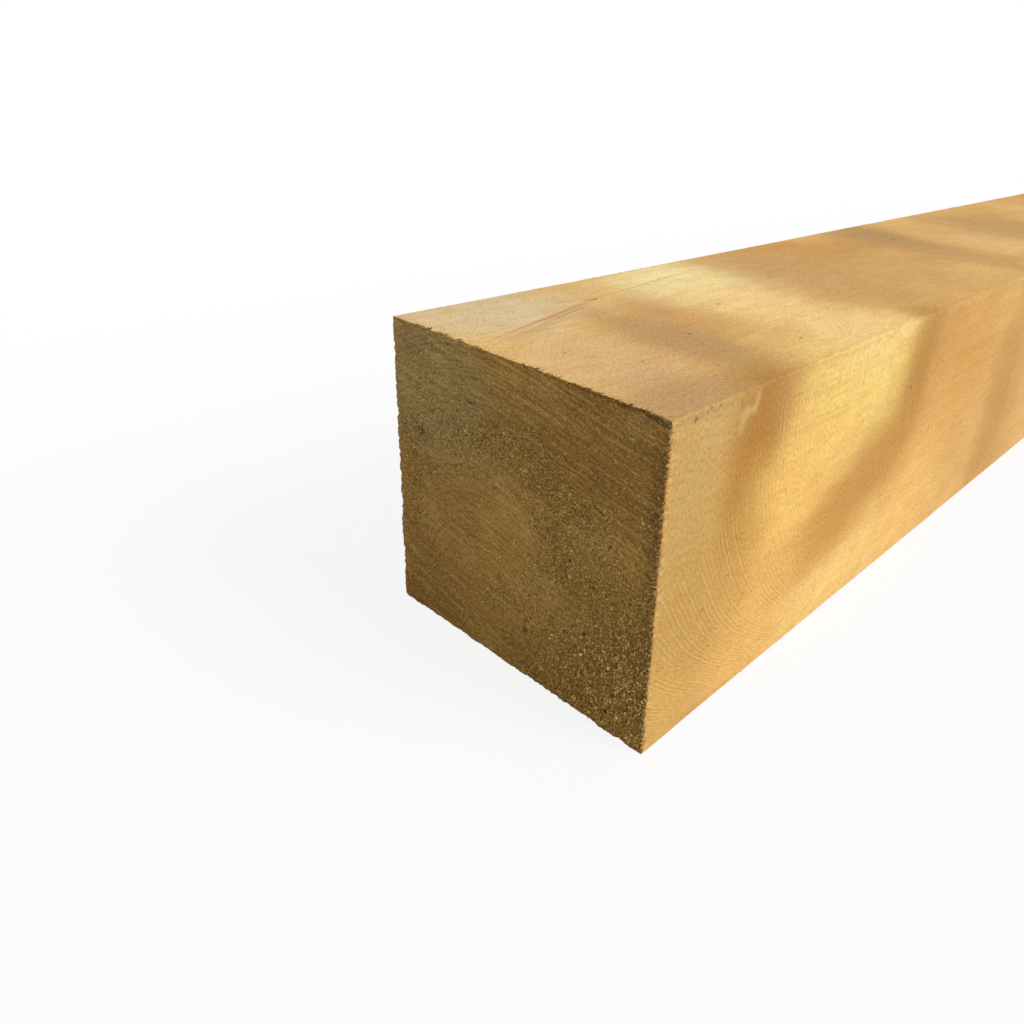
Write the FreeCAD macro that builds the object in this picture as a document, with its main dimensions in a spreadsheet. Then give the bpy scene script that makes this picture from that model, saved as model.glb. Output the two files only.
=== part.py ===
"""Square-sawn hardwood post, lying on one of its long faces, drawn in millimetres.

The post is one piece of timber, sawn lengthways out of a log: a square section, four long arrises
and two ends. Its near end is still the log's own chainsaw crosscut, which leans, so the top edge
reaches further out than the bottom edge. Its far end is cut square. Three of the arrises are sharp
from the saw, and the fourth, at the bottom on the +Y side, is worn round.

Frame: +X runs along the post towards the square-cut end and +Z is up. The origin is on the floor,
under the middle of the post's box.
"""

import FreeCAD
import Part
import Sketcher

import math
import os

DOCUMENT = "timber_post"
NODE = "post"
SHEET = "Dimensions"

# Driving dimensions: alias, value and meaning. Lengths are in millimetres, the angle in degrees.
DIMENSIONS = [
    ("post_length", 2400.0, "length of the top face, from end to end"),
    ("section_width", 200.0, "width of the section, across Y"),
    ("section_depth", 200.0, "depth of the section, up Z"),
    ("end_lean", 4.5, "lean of the near end from square, top edge outwards"),
    ("arris_top_left", 1.0, "radius of the top arris on the +Y side"),
    ("arris_top_right", 1.0, "radius of the top arris on the -Y side"),
    ("arris_bottom_left", 4.0, "radius of the worn bottom arris on the +Y side"),
    ("arris_bottom_right", 1.0, "radius of the bottom arris on the -Y side"),
]

# Each long arris: its radius cell, its side (+1 is +Y) and its level (+1 is the top face).
ARRISES = [
    ("arris_top_left", 1, 1),
    ("arris_top_right", -1, 1),
    ("arris_bottom_left", 1, -1),
    ("arris_bottom_right", -1, -1),
]

# Sketcher's own numbers: the ends of a line, and the sketch's two axes.
LINE_START, LINE_END = 1, 2
HORIZONTAL_AXIS, VERTICAL_AXIS = -1, -2

# Two positions closer than this are the same place, in millimetres.
NEAR = 0.01


def make_sheet(doc):
    """Spreadsheet with one row for each driving dimension: its meaning, then its aliased value."""
    sheet = doc.addObject("Spreadsheet::Sheet", SHEET)
    for row, (alias, value, meaning) in enumerate(DIMENSIONS, start=1):
        sheet.set(f"A{row}", meaning)
        sheet.set(f"B{row}", str(value))
        sheet.setAlias(f"B{row}", alias)
    doc.recompute()
    return sheet


def cell(alias):
    """Expression that reads a driving dimension from the sheet."""
    return f"<<{SHEET}>>.{alias}"


def sketch_side_profile(body, sheet):
    """Side view of the post on the body's XZ plane: a rectangle whose near end leans.

    It stands on the horizontal axis, and its top line is centred on the vertical one.
    """
    plane = next(item for item in body.Origin.OriginFeatures if item.Role == "XZ_Plane")
    sketch = body.newObject("Sketcher::SketchObject", "side_profile")
    sketch.AttachmentSupport = [(plane, "")]
    sketch.MapMode = "FlatFace"

    half_length = sheet.post_length / 2
    depth = sheet.section_depth
    run = depth * math.tan(math.radians(sheet.end_lean))
    corners = [
        FreeCAD.Vector(run - half_length, 0, 0),
        FreeCAD.Vector(half_length, 0, 0),
        FreeCAD.Vector(half_length, depth, 0),
        FreeCAD.Vector(-half_length, depth, 0),
    ]
    outline = list(zip(corners, corners[1:] + corners[:1]))
    bottom, far_end, top, near_end = [
        sketch.addGeometry(Part.LineSegment(start, end)) for start, end in outline
    ]

    chain = [bottom, far_end, top, near_end]
    for line, following in zip(chain, chain[1:] + chain[:1]):
        sketch.addConstraint(
            Sketcher.Constraint("Coincident", line, LINE_END, following, LINE_START)
        )
    sketch.addConstraint(Sketcher.Constraint("Horizontal", bottom))
    sketch.addConstraint(Sketcher.Constraint("Vertical", far_end))
    sketch.addConstraint(
        Sketcher.Constraint("PointOnObject", bottom, LINE_START, HORIZONTAL_AXIS)
    )
    sketch.addConstraint(
        Sketcher.Constraint("Symmetric", top, LINE_START, top, LINE_END, VERTICAL_AXIS)
    )

    bind_distance(sketch, "DistanceX", top, LINE_END, LINE_START, "length", cell("post_length"))
    bind_distance(sketch, "DistanceY", far_end, LINE_START, LINE_END, "depth", cell("section_depth"))
    lean_run = f"{cell('section_depth')} * tan({cell('end_lean')} * 1 deg)"
    bind_distance(sketch, "DistanceX", near_end, LINE_START, LINE_END, "lean_run", lean_run)
    return sketch


def bind_distance(sketch, kind, line, start, end, name, expression):
    """Named distance between the ends of a line, bound to an expression."""
    points = sketch.getPoint(line, start), sketch.getPoint(line, end)
    axis = "x" if kind == "DistanceX" else "y"
    length = getattr(points[1], axis) - getattr(points[0], axis)
    index = sketch.addConstraint(Sketcher.Constraint(kind, line, start, line, end, length))
    sketch.renameConstraint(index, name)
    sketch.setExpression(f"Constraints.{name}", expression)


def sawn_stock(body, profile):
    """The side profile padded both ways across Y to the section's width."""
    stock = body.newObject("PartDesign::Pad", "sawn_stock")
    stock.Profile = profile
    stock.SideType = "Symmetric"
    stock.setExpression("Length", cell("section_width"))
    return stock


def long_arris(shape, side, level):
    """Name of the edge along X where that side of the shape's box meets its top or its bottom."""
    box = shape.BoundBox
    y = box.YMax if side > 0 else box.YMin
    z = box.ZMax if level > 0 else box.ZMin
    for index, edge in enumerate(shape.Edges, start=1):
        ends = [vertex.Point for vertex in edge.Vertexes]
        if all(abs(end.y - y) < NEAR and abs(end.z - z) < NEAR for end in ends):
            return f"Edge{index}"
    raise ValueError(f"the post has no long arris at side {side}, level {level}")


def round_arrises(doc, body, stock):
    """Rounds the four long arrises one after another, each to the radius in its own cell."""
    feature = stock
    for alias, side, level in ARRISES:
        edge = long_arris(feature.Shape, side, level)
        rounded = body.newObject("PartDesign::Fillet", f"round_{alias}")
        rounded.Base = (feature, [edge])
        rounded.setExpression("Radius", cell(alias))
        doc.recompute()
        feature = rounded
    return feature


def check(doc, body, sheet):
    """Stops the build if an object failed, or if the post isn't one valid solid of its sizes."""
    for item in doc.Objects:
        if {"Invalid", "Error"} & set(item.State):
            raise RuntimeError(f"{item.Label} did not build: {item.State}")
    shape = body.Shape
    if shape.isNull() or not shape.isValid() or len(shape.Solids) != 1:
        raise RuntimeError(f"{body.Label} is not one valid solid")

    run = sheet.section_depth * math.tan(math.radians(sheet.end_lean))
    corner_loss = 1 - math.pi / 4
    section = sheet.section_width * sheet.section_depth
    section -= sum(corner_loss * getattr(sheet, alias) ** 2 for alias, _, _ in ARRISES)
    expected = section * (sheet.post_length - run / 2)
    if abs(shape.Volume / expected - 1) > 1e-4:
        raise RuntimeError(f"{body.Label} holds {shape.Volume} mm3 and should hold {expected}")


def main():
    """Builds the document, checks it and writes the post's STEP file."""
    doc = FreeCAD.newDocument(DOCUMENT)
    sheet = make_sheet(doc)

    body = doc.addObject("PartDesign::Body", NODE)
    body.Label = NODE
    stock = sawn_stock(body, sketch_side_profile(body, sheet))
    doc.recompute()
    body.Tip = round_arrises(doc, body, stock)
    doc.recompute()
    check(doc, body, sheet)

    os.makedirs("parts", exist_ok=True)
    body.Shape.exportStep(os.path.join("parts", f"{body.Label}.step"))


main()
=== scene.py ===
"""Square-sawn hardwood post: sawn faces, a rough chainsawn end and a square-cut end.

The post is one closed surface that stands for the CAD node "post". Torn fibres on its ends and
along its arrises are small separate slivers and crumbs. Every pattern in the wood comes from the
same growth rings, so the arcs on an end and the figure on a long face belong together.

Lengths are in metres. +X runs along the post to the square-cut end and +Z is up.
"""

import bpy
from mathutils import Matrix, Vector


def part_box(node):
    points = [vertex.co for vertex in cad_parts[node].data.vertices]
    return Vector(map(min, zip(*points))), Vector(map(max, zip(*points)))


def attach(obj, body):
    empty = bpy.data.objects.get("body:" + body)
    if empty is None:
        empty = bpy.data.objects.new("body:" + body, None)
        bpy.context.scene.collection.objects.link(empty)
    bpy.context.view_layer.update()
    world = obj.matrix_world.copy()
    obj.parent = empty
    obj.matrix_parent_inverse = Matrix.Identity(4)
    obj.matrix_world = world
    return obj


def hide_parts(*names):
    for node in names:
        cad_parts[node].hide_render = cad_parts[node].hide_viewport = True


bl_info = {
    "name": "Sawn timber post",
    "version": (1, 0, 0),
    "blender": (4, 5, 0),
    "location": "3D View > Sidebar > Timber post",
    "description": "Builds a square-sawn hardwood post with a rough chainsawn end",
    "category": "Add Mesh",
}

import itertools
import math

import bpy
import numpy as np
from bpy.props import FloatProperty, FloatVectorProperty, IntProperty, PointerProperty
from mathutils import Matrix, Vector

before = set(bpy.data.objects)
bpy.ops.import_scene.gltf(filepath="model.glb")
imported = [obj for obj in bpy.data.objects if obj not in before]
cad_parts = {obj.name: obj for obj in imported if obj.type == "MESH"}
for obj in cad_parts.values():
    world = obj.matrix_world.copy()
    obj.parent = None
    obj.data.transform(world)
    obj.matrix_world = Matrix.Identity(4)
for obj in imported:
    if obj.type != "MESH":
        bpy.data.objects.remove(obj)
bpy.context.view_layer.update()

NODE = "post"
BODY = "root"
MM = 0.001

LOW, HIGH = (np.array(corner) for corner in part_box(NODE))
LENGTH, WIDTH, DEPTH = HIGH - LOW


def near_end_lean():
    """How far the near end's bottom edge lies behind its top edge, read from the CAD solid."""
    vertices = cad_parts[NODE].data.vertices
    points = np.empty(len(vertices) * 3)
    vertices.foreach_get("co", points)
    points = points.reshape(-1, 3)
    low_half = points[points[:, 2] < LOW[2] + DEPTH * 0.01]
    return float(low_half[:, 0].min() - LOW[0])


LEAN = near_end_lean()


def display(red, green, blue):
    """Linear colour for a colour given as it looks on a display, each part from 0 to 255."""
    parts = np.array([red, green, blue]) / 255
    linear = np.where(parts <= 0.04045, parts / 12.92, ((parts + 0.055) / 1.055) ** 2.4)
    return tuple(float(part) for part in linear)


# Settings


def length_setting(name, description, default, least=0.0):
    """Setting for a size in metres."""
    return FloatProperty(
        name=name, description=description, default=default, min=least, unit="LENGTH", precision=5
    )


def count_setting(name, description, default):
    """Setting for how many of something there are."""
    return IntProperty(name=name, description=description, default=default, min=0)


def colour_setting(name, description, *parts):
    """Setting for a colour, given as it looks on a display."""
    return FloatVectorProperty(
        name=name, description=description, default=display(*parts), subtype="COLOR"
    )


def angle_setting(name, description, degrees):
    """Setting for an angle, given in degrees."""
    return FloatProperty(
        name=name, description=description, default=math.radians(degrees), subtype="ANGLE"
    )


def strength_setting(name, description, default):
    """Setting for the strength of a light."""
    return FloatProperty(name=name, description=description, default=default, min=0.0)


class PostSizes(bpy.types.PropertyGroup):
    """Sizes of the wood's figure, of its saw marks and of its torn fibres."""

    sharp_arris: length_setting("Sharp arris", "Radius of the three sharp long arrises", 1.0 * MM)
    worn_arris: length_setting("Worn arris", "Radius of the bottom arris on the +Y side", 4.0 * MM)
    ring_width: length_setting("Growth ring", "Distance between growth rings", 4.0 * MM, 1.0 * MM)
    saw_pitch: length_setting("Saw marks", "Distance between saw marks", 4.0 * MM, 1.0 * MM)
    saw_reach: length_setting("Saw arcs", "Radius of the saw marks' arcs", 0.205, 0.201)
    crumbs: count_setting("Torn crumbs", "How many crumbs stand on the chainsawn end", 4500)
    tufts: count_setting("Torn tufts", "How many tufts stand on the chainsawn end", 14000)
    whiskers: count_setting("Edge whiskers", "How many fibres stand on the edges", 2600)


class PostColours(bpy.types.PropertyGroup):
    """Colours of the sawn faces and of the two ends."""

    face: colour_setting("Sawn face", "Middle colour of the long faces", 221, 174, 106)
    face_pale: colour_setting("Pale wood", "Palest areas of the long faces", 243, 203, 124)
    face_tan: colour_setting("Tan wood", "Browner areas of the long faces", 194, 142, 72)
    late_wood: colour_setting("Late wood", "Dark line that closes a growth ring", 162, 106, 44)
    end: colour_setting("Chainsawn end", "Middle colour of the rough end", 155, 116, 53)
    # end_dark is also painted into the torn hollows as shade, and end_light onto the raised fibres
    # as highlight.
    end_dark: colour_setting("Torn hollows", "Darkest parts of the rough end", 66, 42, 13)
    end_light: colour_setting("Fibre tips", "Fresh fibre of the rough end", 232, 200, 124)
    tuft: colour_setting("Torn tufts", "Palest of the loose tufts", 240, 208, 134)
    square_end: colour_setting("Square-cut end", "Colour of the far end", 190, 150, 96)


class StageSettings(bpy.types.PropertyGroup):
    """Camera and lamps."""

    lens: FloatProperty(
        name="Lens",
        description="Focal length on a 36 mm wide sensor, in millimetres",
        default=31.018,
        min=1.0,
    )
    shift: FloatProperty(
        name="Vertical shift",
        description="Shift of the lens, as a share of the sensor's width",
        default=-0.115,
    )
    stand_off: FloatVectorProperty(
        name="Camera place",
        description="Place of the camera from the near end's bottom corner on the -Y side",
        default=(-0.33147, -0.19548, 0.34738),
        subtype="XYZ",
        unit="LENGTH",
    )
    heading: angle_setting("Heading", "Direction the camera looks in, from +X to +Y", 42.908)
    pitch: angle_setting("Pitch", "Tilt of the camera above the horizontal", -20.951)
    roll: angle_setting("Roll", "Turn of the camera about its own line of sight", 3.962)
    key: strength_setting("Key lamp", "Strength of the large soft lamp on the -Y side", 2.02)
    fill: strength_setting("Fill lamp", "Strength of the weak lamp before the rough end", 0.95)
    surround: strength_setting("Surround", "Strength of the light from all round", 0.30)


# Numbers


def lattice_values(seed, cells):
    """Repeatable random number from -1 to 1 for each whole-numbered lattice point.

    The point's numbers are multiplied by large odd numbers, mixed with exclusive-or and shifts,
    and the low 24 bits become the value.
    """
    mixed = np.full(cells[0].shape, seed * 7919 + 17, np.uint64)
    factors = (0x9E3779B97F4A7C15, 0xC2B2AE3D27D4EB4F, 0x165667B19E3779F9)
    for cell, factor in zip(cells, factors):
        mixed ^= cell.astype(np.int64).astype(np.uint64) * np.uint64(factor)
        mixed ^= mixed >> np.uint64(29)
        mixed *= np.uint64(0xBF58476D1CE4E5B9)
        mixed ^= mixed >> np.uint64(32)
    return (mixed & np.uint64(0xFFFFFF)).astype(float) / 0x7FFFFF - 1


def noise(seed, *places):
    """Smooth noise from -1 to 1 with features about one unit across.

    Lattice values are blended across each cell by the smooth step 3t² - 2t³ along every axis.
    """
    places = np.broadcast_arrays(*places)
    cells = [np.floor(place) for place in places]
    eases = [(place - cell) ** 2 * (3 - 2 * (place - cell)) for place, cell in zip(places, cells)]
    total = np.zeros(places[0].shape)
    for corner in itertools.product((0, 1), repeat=len(places)):
        weight = np.ones(places[0].shape)
        for ease, step in zip(eases, corner):
            weight *= ease if step else 1 - ease
        total += weight * lattice_values(seed, [cell + step for cell, step in zip(cells, corner)])
    return total


def rough(seed, octaves, *places):
    """Noise with finer noise added on top: each octave is twice as fine and half as strong."""
    layers = [noise(seed + k, *(place * 2**k for place in places)) / 2**k for k in range(octaves)]
    return sum(layers) / sum(1 / 2**k for k in range(octaves))


def grain(seed, octaves, y, z, wide, high=None):
    """Rough noise over the post's section, with features that many millimetres wide and high."""
    return rough(seed, octaves, y / (wide * MM), z / ((high or wide) * MM))


def step_up(value, low, high):
    """Smooth step from 0 at low to 1 at high."""
    share = np.clip((value - low) / (high - low), 0, 1)
    return share * share * (3 - 2 * share)


def hump(value, middle, half_width):
    """Bell shape: 1 at the middle, about a third one half width away."""
    return np.exp(-(((value - middle) / half_width) ** 2))


# Shape of the post

# Cells of the section's grid along each side, and distances in from a corner, of which a thinner
# ring keeps some. The rings of points stand at these distances from each end.
SIDE_CELLS = 240
CORNER_STEPS = np.array([0.0, 0.35, 0.7, 1.05, 1.5, 2.1, 2.9, 4.0]) * MM
CORNER_KEPT = (0, 2, 4, 7)
END_RINGS = np.array([0.0, 0.5, 1.1, 1.8, 2.7, 3.8, 5.2, 7.0, 9.0]) * MM
STEP_RINGS = np.array([11.0, 13.0, 15.5, 18.5, 22.0, 26.0, 31.0]) * MM
FAR_RINGS = np.array([0.0, 0.6, 1.5, 3.0]) * MM

# Closely spaced rings reach this far from the chainsawn end; then they are further apart.
CLOSE_REACH = 0.8
CLOSE_SPACING, WIDE_SPACING = 7.5 * MM, 16 * MM

# The surface lies this far inside the CAD solid, so that loose fibres stay inside its box.
FACE_INSET = 0.3 * MM
END_INSET = 0.9 * MM


def side_places():
    """Places across one side of the section, from 0 to 1: close together near both corners."""
    corner = CORNER_STEPS / WIDTH
    middle = np.linspace(corner[-1], 1 - corner[-1], SIDE_CELLS - 2 * len(corner) + 3)
    return np.concatenate([corner, middle[1:-1], 1 - corner[::-1]])


def thinned(kept_corner, middle_count):
    """Which of the side's places a coarser ring keeps, as the same list from either corner."""
    last = len(CORNER_STEPS) - 1
    steps = middle_count + 1
    middle = last + np.arange(1, steps) * (SIDE_CELLS - 2 * last) // steps
    half = middle[: len(middle) // 2]
    centre = [SIDE_CELLS // 2] if middle_count % 2 else []
    lower = sorted({*kept_corner, *half.tolist(), *centre})
    return np.array(sorted({*lower, *(SIDE_CELLS - k for k in lower)}))


def round_corners(y, z, sizes):
    """Moves points of the square section in from its corners, so that each corner is an arc.

    In the small square at a corner, a point at (a, b) from the arc's centre is scaled by
    max(a, b) / length(a, b), which turns the square's outline into the circle's.
    """
    y, z = y.copy(), z.copy()
    for side, level in itertools.product((-1, 1), (-1, 1)):
        radius = sizes.worn_arris if (side, level) == (1, -1) else sizes.sharp_arris
        corner_y = HIGH[1] if side > 0 else LOW[1]
        corner_z = HIGH[2] if level > 0 else LOW[2]
        out_y = radius - side * (corner_y - y)
        out_z = radius - level * (corner_z - z)
        inside = (out_y > 0) & (out_z > 0)
        reach = np.maximum(out_y, out_z) / np.maximum(np.hypot(out_y, out_z), 1e-9)
        y = np.where(inside, corner_y - side * (radius - out_y * reach), y)
        z = np.where(inside, corner_z - level * (radius - out_z * reach), z)
    return y, z


def section_grid(kept, sizes):
    """Points of a section on a grid: y and z, from the -Y side to the +Y side and upwards."""
    share = side_places()[kept]
    y, z = np.meshgrid(LOW[1] + WIDTH * share, LOW[2] + DEPTH * share, indexing="ij")
    return round_corners(y, z, sizes)


def outline(grid):
    """The grid's outer points in order: up the -Y side, across the top, down, and back."""
    return np.concatenate([grid[0, :-1], grid[:-1, -1], grid[-1, :0:-1], grid[:0:-1, 0]])


def inwards(y, z):
    """Unit directions into the wood, towards the section shrunk by a few millimetres."""
    margin = 6 * MM
    into_y = np.clip(y, LOW[1] + margin, HIGH[1] - margin) - y
    into_z = np.clip(z, LOW[2] + margin, HIGH[2] - margin) - z
    size = np.hypot(into_y, into_z)
    return into_y / size, into_z / size


def end_shares(y, z):
    """Place on the near end: across from the +Y edge and down from the top, each 0 to 1."""
    return (HIGH[1] - y) / WIDTH, (HIGH[2] - z) / DEPTH


# Place of the pith on the near end, as shares across from the +Y edge and down from the top.
PITH_ACROSS, PITH_DOWN = 0.40, 0.80


def torn_share(y, z):
    """How torn the near end is at each point, from 0 to 1.

    Bands follow two growth rings and a diagonal, and the lower -Y corner is torn all over. Noise
    breaks their edges up.
    """
    across, down = end_shares(y, z)
    radius = np.hypot(across - PITH_ACROSS, down - PITH_DOWN)
    upper = step_up(PITH_DOWN - down, 0.15, 0.35)
    bands = 0.9 * hump(radius, 0.53, 0.075) * upper + 0.5 * hump(radius, 0.41, 0.03) * upper
    diagonal = (across - 0.70) * 0.78 + (down - 0.47) * 0.62
    along = (across - 0.70) * -0.62 + (down - 0.47) * 0.78
    slash = 0.95 * hump(diagonal, 0.0, 0.075) * hump(along, 0.0, 0.20)
    corner = 1.1 * step_up(across * 0.9 + down, 1.22, 1.62) * step_up(across, 0.42, 0.66)
    side = 0.55 * hump(across, 0.07, 0.09) * hump(down, 0.52, 0.24)
    side += 0.35 * hump(across, 0.52, 0.16) * hump(down, 0.76, 0.12)
    smooth = 0.5 * hump(across, 0.42, 0.14) * hump(down, 0.50, 0.12)
    smooth += 0.6 * step_up(across, 0.55, 0.8) * step_up(0.32 - down, 0.0, 0.2)
    broken = grain(11, 3, y, z, 14)
    return np.clip(bands + slash + corner + side - smooth + 0.42 * broken + 0.10, 0, 1)


def hollow(across, down, middle, size):
    """Round hollow on the near end, 1 at its middle: middle and size are shares of the end."""
    return np.exp(-((across - middle[0]) ** 2 + (down - middle[1]) ** 2) / size**2)


def edge_distance(y, z):
    """Distance in from the nearest edge of the section."""
    return np.minimum(
        np.minimum(y - LOW[1], HIGH[1] - y),
        np.minimum(z - LOW[2], HIGH[2] - z),
    )


# Distance between the chainsaw's sweeps, and its pits: middle and size as shares of the end, and
# depth in millimetres.
SWEEP_PITCH = 4.6 * MM
PITS = [
    ((0.557, 0.835), 0.014, 1.6),
    ((0.114, 0.342), 0.015, 1.2),
    ((0.893, 0.685), 0.012, 1.0),
]


def chainsaw_depth(y, z, sizes):
    """How far in from the end's plane the chainsawn surface lies.

    Added up: wide waves, growth rings as a cosine of the distance from the pith, saw sweeps as a
    cosine across slightly bent lines, torn roughness, a few pits and a crack, and broken edges.
    """
    across, down = end_shares(y, z)
    torn = torn_share(y, z)
    radius = np.hypot((across - PITH_ACROSS) * WIDTH, (down - PITH_DOWN) * DEPTH)
    radius += 1.5 * MM * grain(23, 2, y, z, 22)
    rings = np.cos(radius / sizes.ring_width * 2 * np.pi)
    sweep = down - 0.16 * across - 0.07 * across**2 + 0.006 * grain(31, 1, y, z, 40)
    sweeps = np.cos(sweep * DEPTH / SWEEP_PITCH * 2 * np.pi)
    clear = 1 - 0.75 * torn
    lean_z = z + 0.18 * y
    depth = 0.35 * grain(41, 2, y, z, 60)
    depth += 0.11 * rings * clear
    depth += (0.10 + 0.12 * step_up(across - down, -0.2, 0.5)) * sweeps * clear
    depth += (0.15 + 1.15 * torn) * np.abs(grain(53, 3, y, lean_z, 5.2, 2.6))
    depth += torn * 0.45 * grain(59, 1, y, z, 9)
    depth += (0.10 + 0.25 * torn) * grain(61, 1, y, lean_z, 1.9, 1.3)
    for middle, size, deep in PITS:
        depth += deep * hollow(across, down, middle, size)
    crack = (down - 0.175) + 0.35 * (across - 0.332)
    depth += 1.3 * hump(crack, 0, 0.0045) * hump(across, 0.332, 0.016)
    edge = edge_distance(y, z)
    broken = np.clip(grain(71, 3, y, z, 7) + 0.15, 0, 1)
    lower = step_up(down, 0.55, 0.95)
    depth += (0.30 + 1.6 * broken * (0.35 + 0.6 * lower)) * np.exp(-edge / (1.3 * MM))
    notch = np.clip(grain(73, 2, y, z, 2.9) - 0.05, 0, 1)
    clean = 0.75 * step_up(across, 0.9, 1.0) + 0.65 * step_up(down, 0.9, 1.0)
    depth += 3.0 * notch * (1 - np.minimum(clean, 0.75)) * np.exp(-edge / (0.9 * MM))
    return END_INSET + np.maximum(depth, -0.5) * MM


def chainsawn_surface(y, z, sizes):
    """Points of the chainsawn surface at those places: the leaning plane, less the depth."""
    x = LOW[0] + LEAN * (HIGH[2] - z) / DEPTH + chainsaw_depth(y, z, sizes)
    return np.stack([x, y, z], 1)


def edge_wear(y, z, along):
    """How far the long faces are broken back beside the near end, fading within millimetres.

    The lower edge is gnawed in waves of about 25 mm, the +Y edge has one notch, and the other two
    edges are only bruised.
    """
    across, down = end_shares(y, z)
    under = step_up(down, 0.9, 1.0)
    left = step_up(0.1 - across, 0.0, 0.1)
    right = step_up(across, 0.9, 1.0)
    top = step_up(0.1 - down, 0.0, 0.1)
    waves = 0.5 + 0.5 * noise(83, across * 9, down * 9)
    fine = np.abs(grain(89, 2, y, z, 3.2))
    wear = under * (1.5 * waves + 0.2 * fine) + left * (0.45 * waves + 0.45 * fine)
    wear += left * 0.9 * hump(down, 0.32, 0.018)
    wear += right * 0.35 * fine + top * (0.25 + 0.7 * fine)
    return wear * MM * np.exp(-along / (3.0 * MM))


def square_surface(y, z):
    """Points of the square-cut end: fine saw scratches as a cosine down it, and slight waves."""
    scratch = np.cos((z / (3.4 * MM) + 0.5 * grain(131, 1, y, z, 50)) * 2 * np.pi)
    x = HIGH[0] - (0.30 + 0.06 * scratch + 0.05 * grain(137, 1, y, z, 30)) * MM
    return np.stack([x, y, z], 1)


def long_rings(start, stop, spacing):
    """Distances from the near end of evenly spaced rings, from start up to stop."""
    return np.linspace(start, stop, int((stop - start) / spacing) + 1)[1:]


def face_waves(along, y, z):
    """Long shallow waves and shorter chatter that a saw leaves as it wanders."""
    bow = 0.16 * np.sin(np.pi * along / LENGTH) ** 2
    wander = 0.26 * noise(101, along / (190 * MM), y / 0.16, z / 0.16)
    ripple = 0.13 * noise(103, along / (36 * MM), y / 0.08, z / 0.08)
    return (bow + 0.40 + wander + ripple) * MM


def ring_shift(along, y, z):
    """How far along X a ring of the mesh is pushed at each point of its outline.

    Near the chainsawn end the rings follow its lean. Further on they lie in the saw's slanting
    line: later at the bottom and later on the +Y side. At the far end they are square.
    """
    down = (HIGH[2] - z) / DEPTH
    left = (y - LOW[1]) / WIDTH
    middle = np.sin(np.pi * np.clip(along / LENGTH, 0, 1)) ** 2
    square = 1 - step_up(along, LENGTH - 0.4, LENGTH - 0.03)
    return (LEAN + 14 * MM * middle) * down * square + 11 * MM * middle * left * (1 - 0.5 * down)


def ring_points(along, kept, sizes):
    """Points of one ring of the long faces' surface."""
    y, z = (outline(part) for part in section_grid(kept, sizes))
    into_y, into_z = inwards(y, z)
    depth = FACE_INSET + face_waves(along, y, z) * step_up(along, 0, 60 * MM)
    depth = depth + edge_wear(y, z, along)
    depth = depth + 0.5 * MM * np.exp(-(LENGTH - along) / (1.2 * MM))
    near = chainsaw_depth(y, z, sizes) * np.exp(-along / (4 * MM))
    x = LOW[0] + along + near + ring_shift(along, y, z)
    far_gap = 0.25 * MM * np.exp(-(LENGTH - along) / (5 * MM))
    x = np.minimum(x, HIGH[0] - far_gap)
    return np.stack([x, y + into_y * depth, z + into_z * depth], 1)


def grid_ids(kept, ring, first):
    """Ids of an end's grid of points: the ring's round the outline, and new ones inside it."""
    last = len(kept) - 1
    ids = np.full((last + 1, last + 1), -1)
    ids[0, :-1], ids[:-1, -1], ids[-1, :0:-1], ids[:0:-1, 0] = ring.reshape(4, last)
    inner = ids < 0
    ids[inner] = np.arange(first, first + inner.sum())
    return ids, inner


def end_grid(kept, ring, first, sizes):
    """Places inside the grid that closes an end, and the grid's triangles, facing -X."""
    ids, inner = grid_ids(kept, ring, first)
    quads = np.stack([ids[:-1, :-1], ids[:-1, 1:], ids[1:, 1:], ids[1:, :-1]], -1)
    y, z = section_grid(kept, sizes)
    return y[inner], z[inner], as_triangles(quads.reshape(-1, 4))


def as_triangles(quads):
    """Each four-cornered face as two triangles."""
    return np.concatenate([quads[:, [0, 1, 2]], quads[:, [0, 2, 3]]])


def between_rings(first, second):
    """Faces between two rings with as many points, facing out of the post."""
    following, after = np.roll(first, -1), np.roll(second, -1)
    return as_triangles(np.stack([first, second, after, following], 1))


def between_uneven(fine, coarse, kept, flip):
    """Faces between a fine ring and a coarse one whose points stand beside some of the fine ones.

    Each step of the fine ring makes a triangle with the coarse point nearest its middle, and each
    step of the coarse ring makes one with the fine point where that nearest point changes.
    """
    count = len(fine)
    bounds = np.append(kept, count)
    owner = np.searchsorted(bounds, np.arange(count) + 0.5) - 1
    middle = (bounds[owner] + bounds[owner + 1]) / 2
    nearest = (owner + (np.arange(count) + 0.5 > middle)) % len(coarse)
    fans = np.stack([fine, coarse[nearest], np.roll(fine, -1)], 1)
    turn = (bounds[:-1] + bounds[1:] + 1) // 2 % count
    bridges = np.stack([fine[turn], coarse, np.roll(coarse, -1)], 1)
    triangles = np.concatenate([fans, bridges])
    return triangles[:, ::-1] if flip else triangles


def outline_places(kept):
    """Where a thinner ring's points stand in the full ring's order."""
    return np.concatenate([kept[:-1] + side * SIDE_CELLS for side in range(4)])


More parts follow.
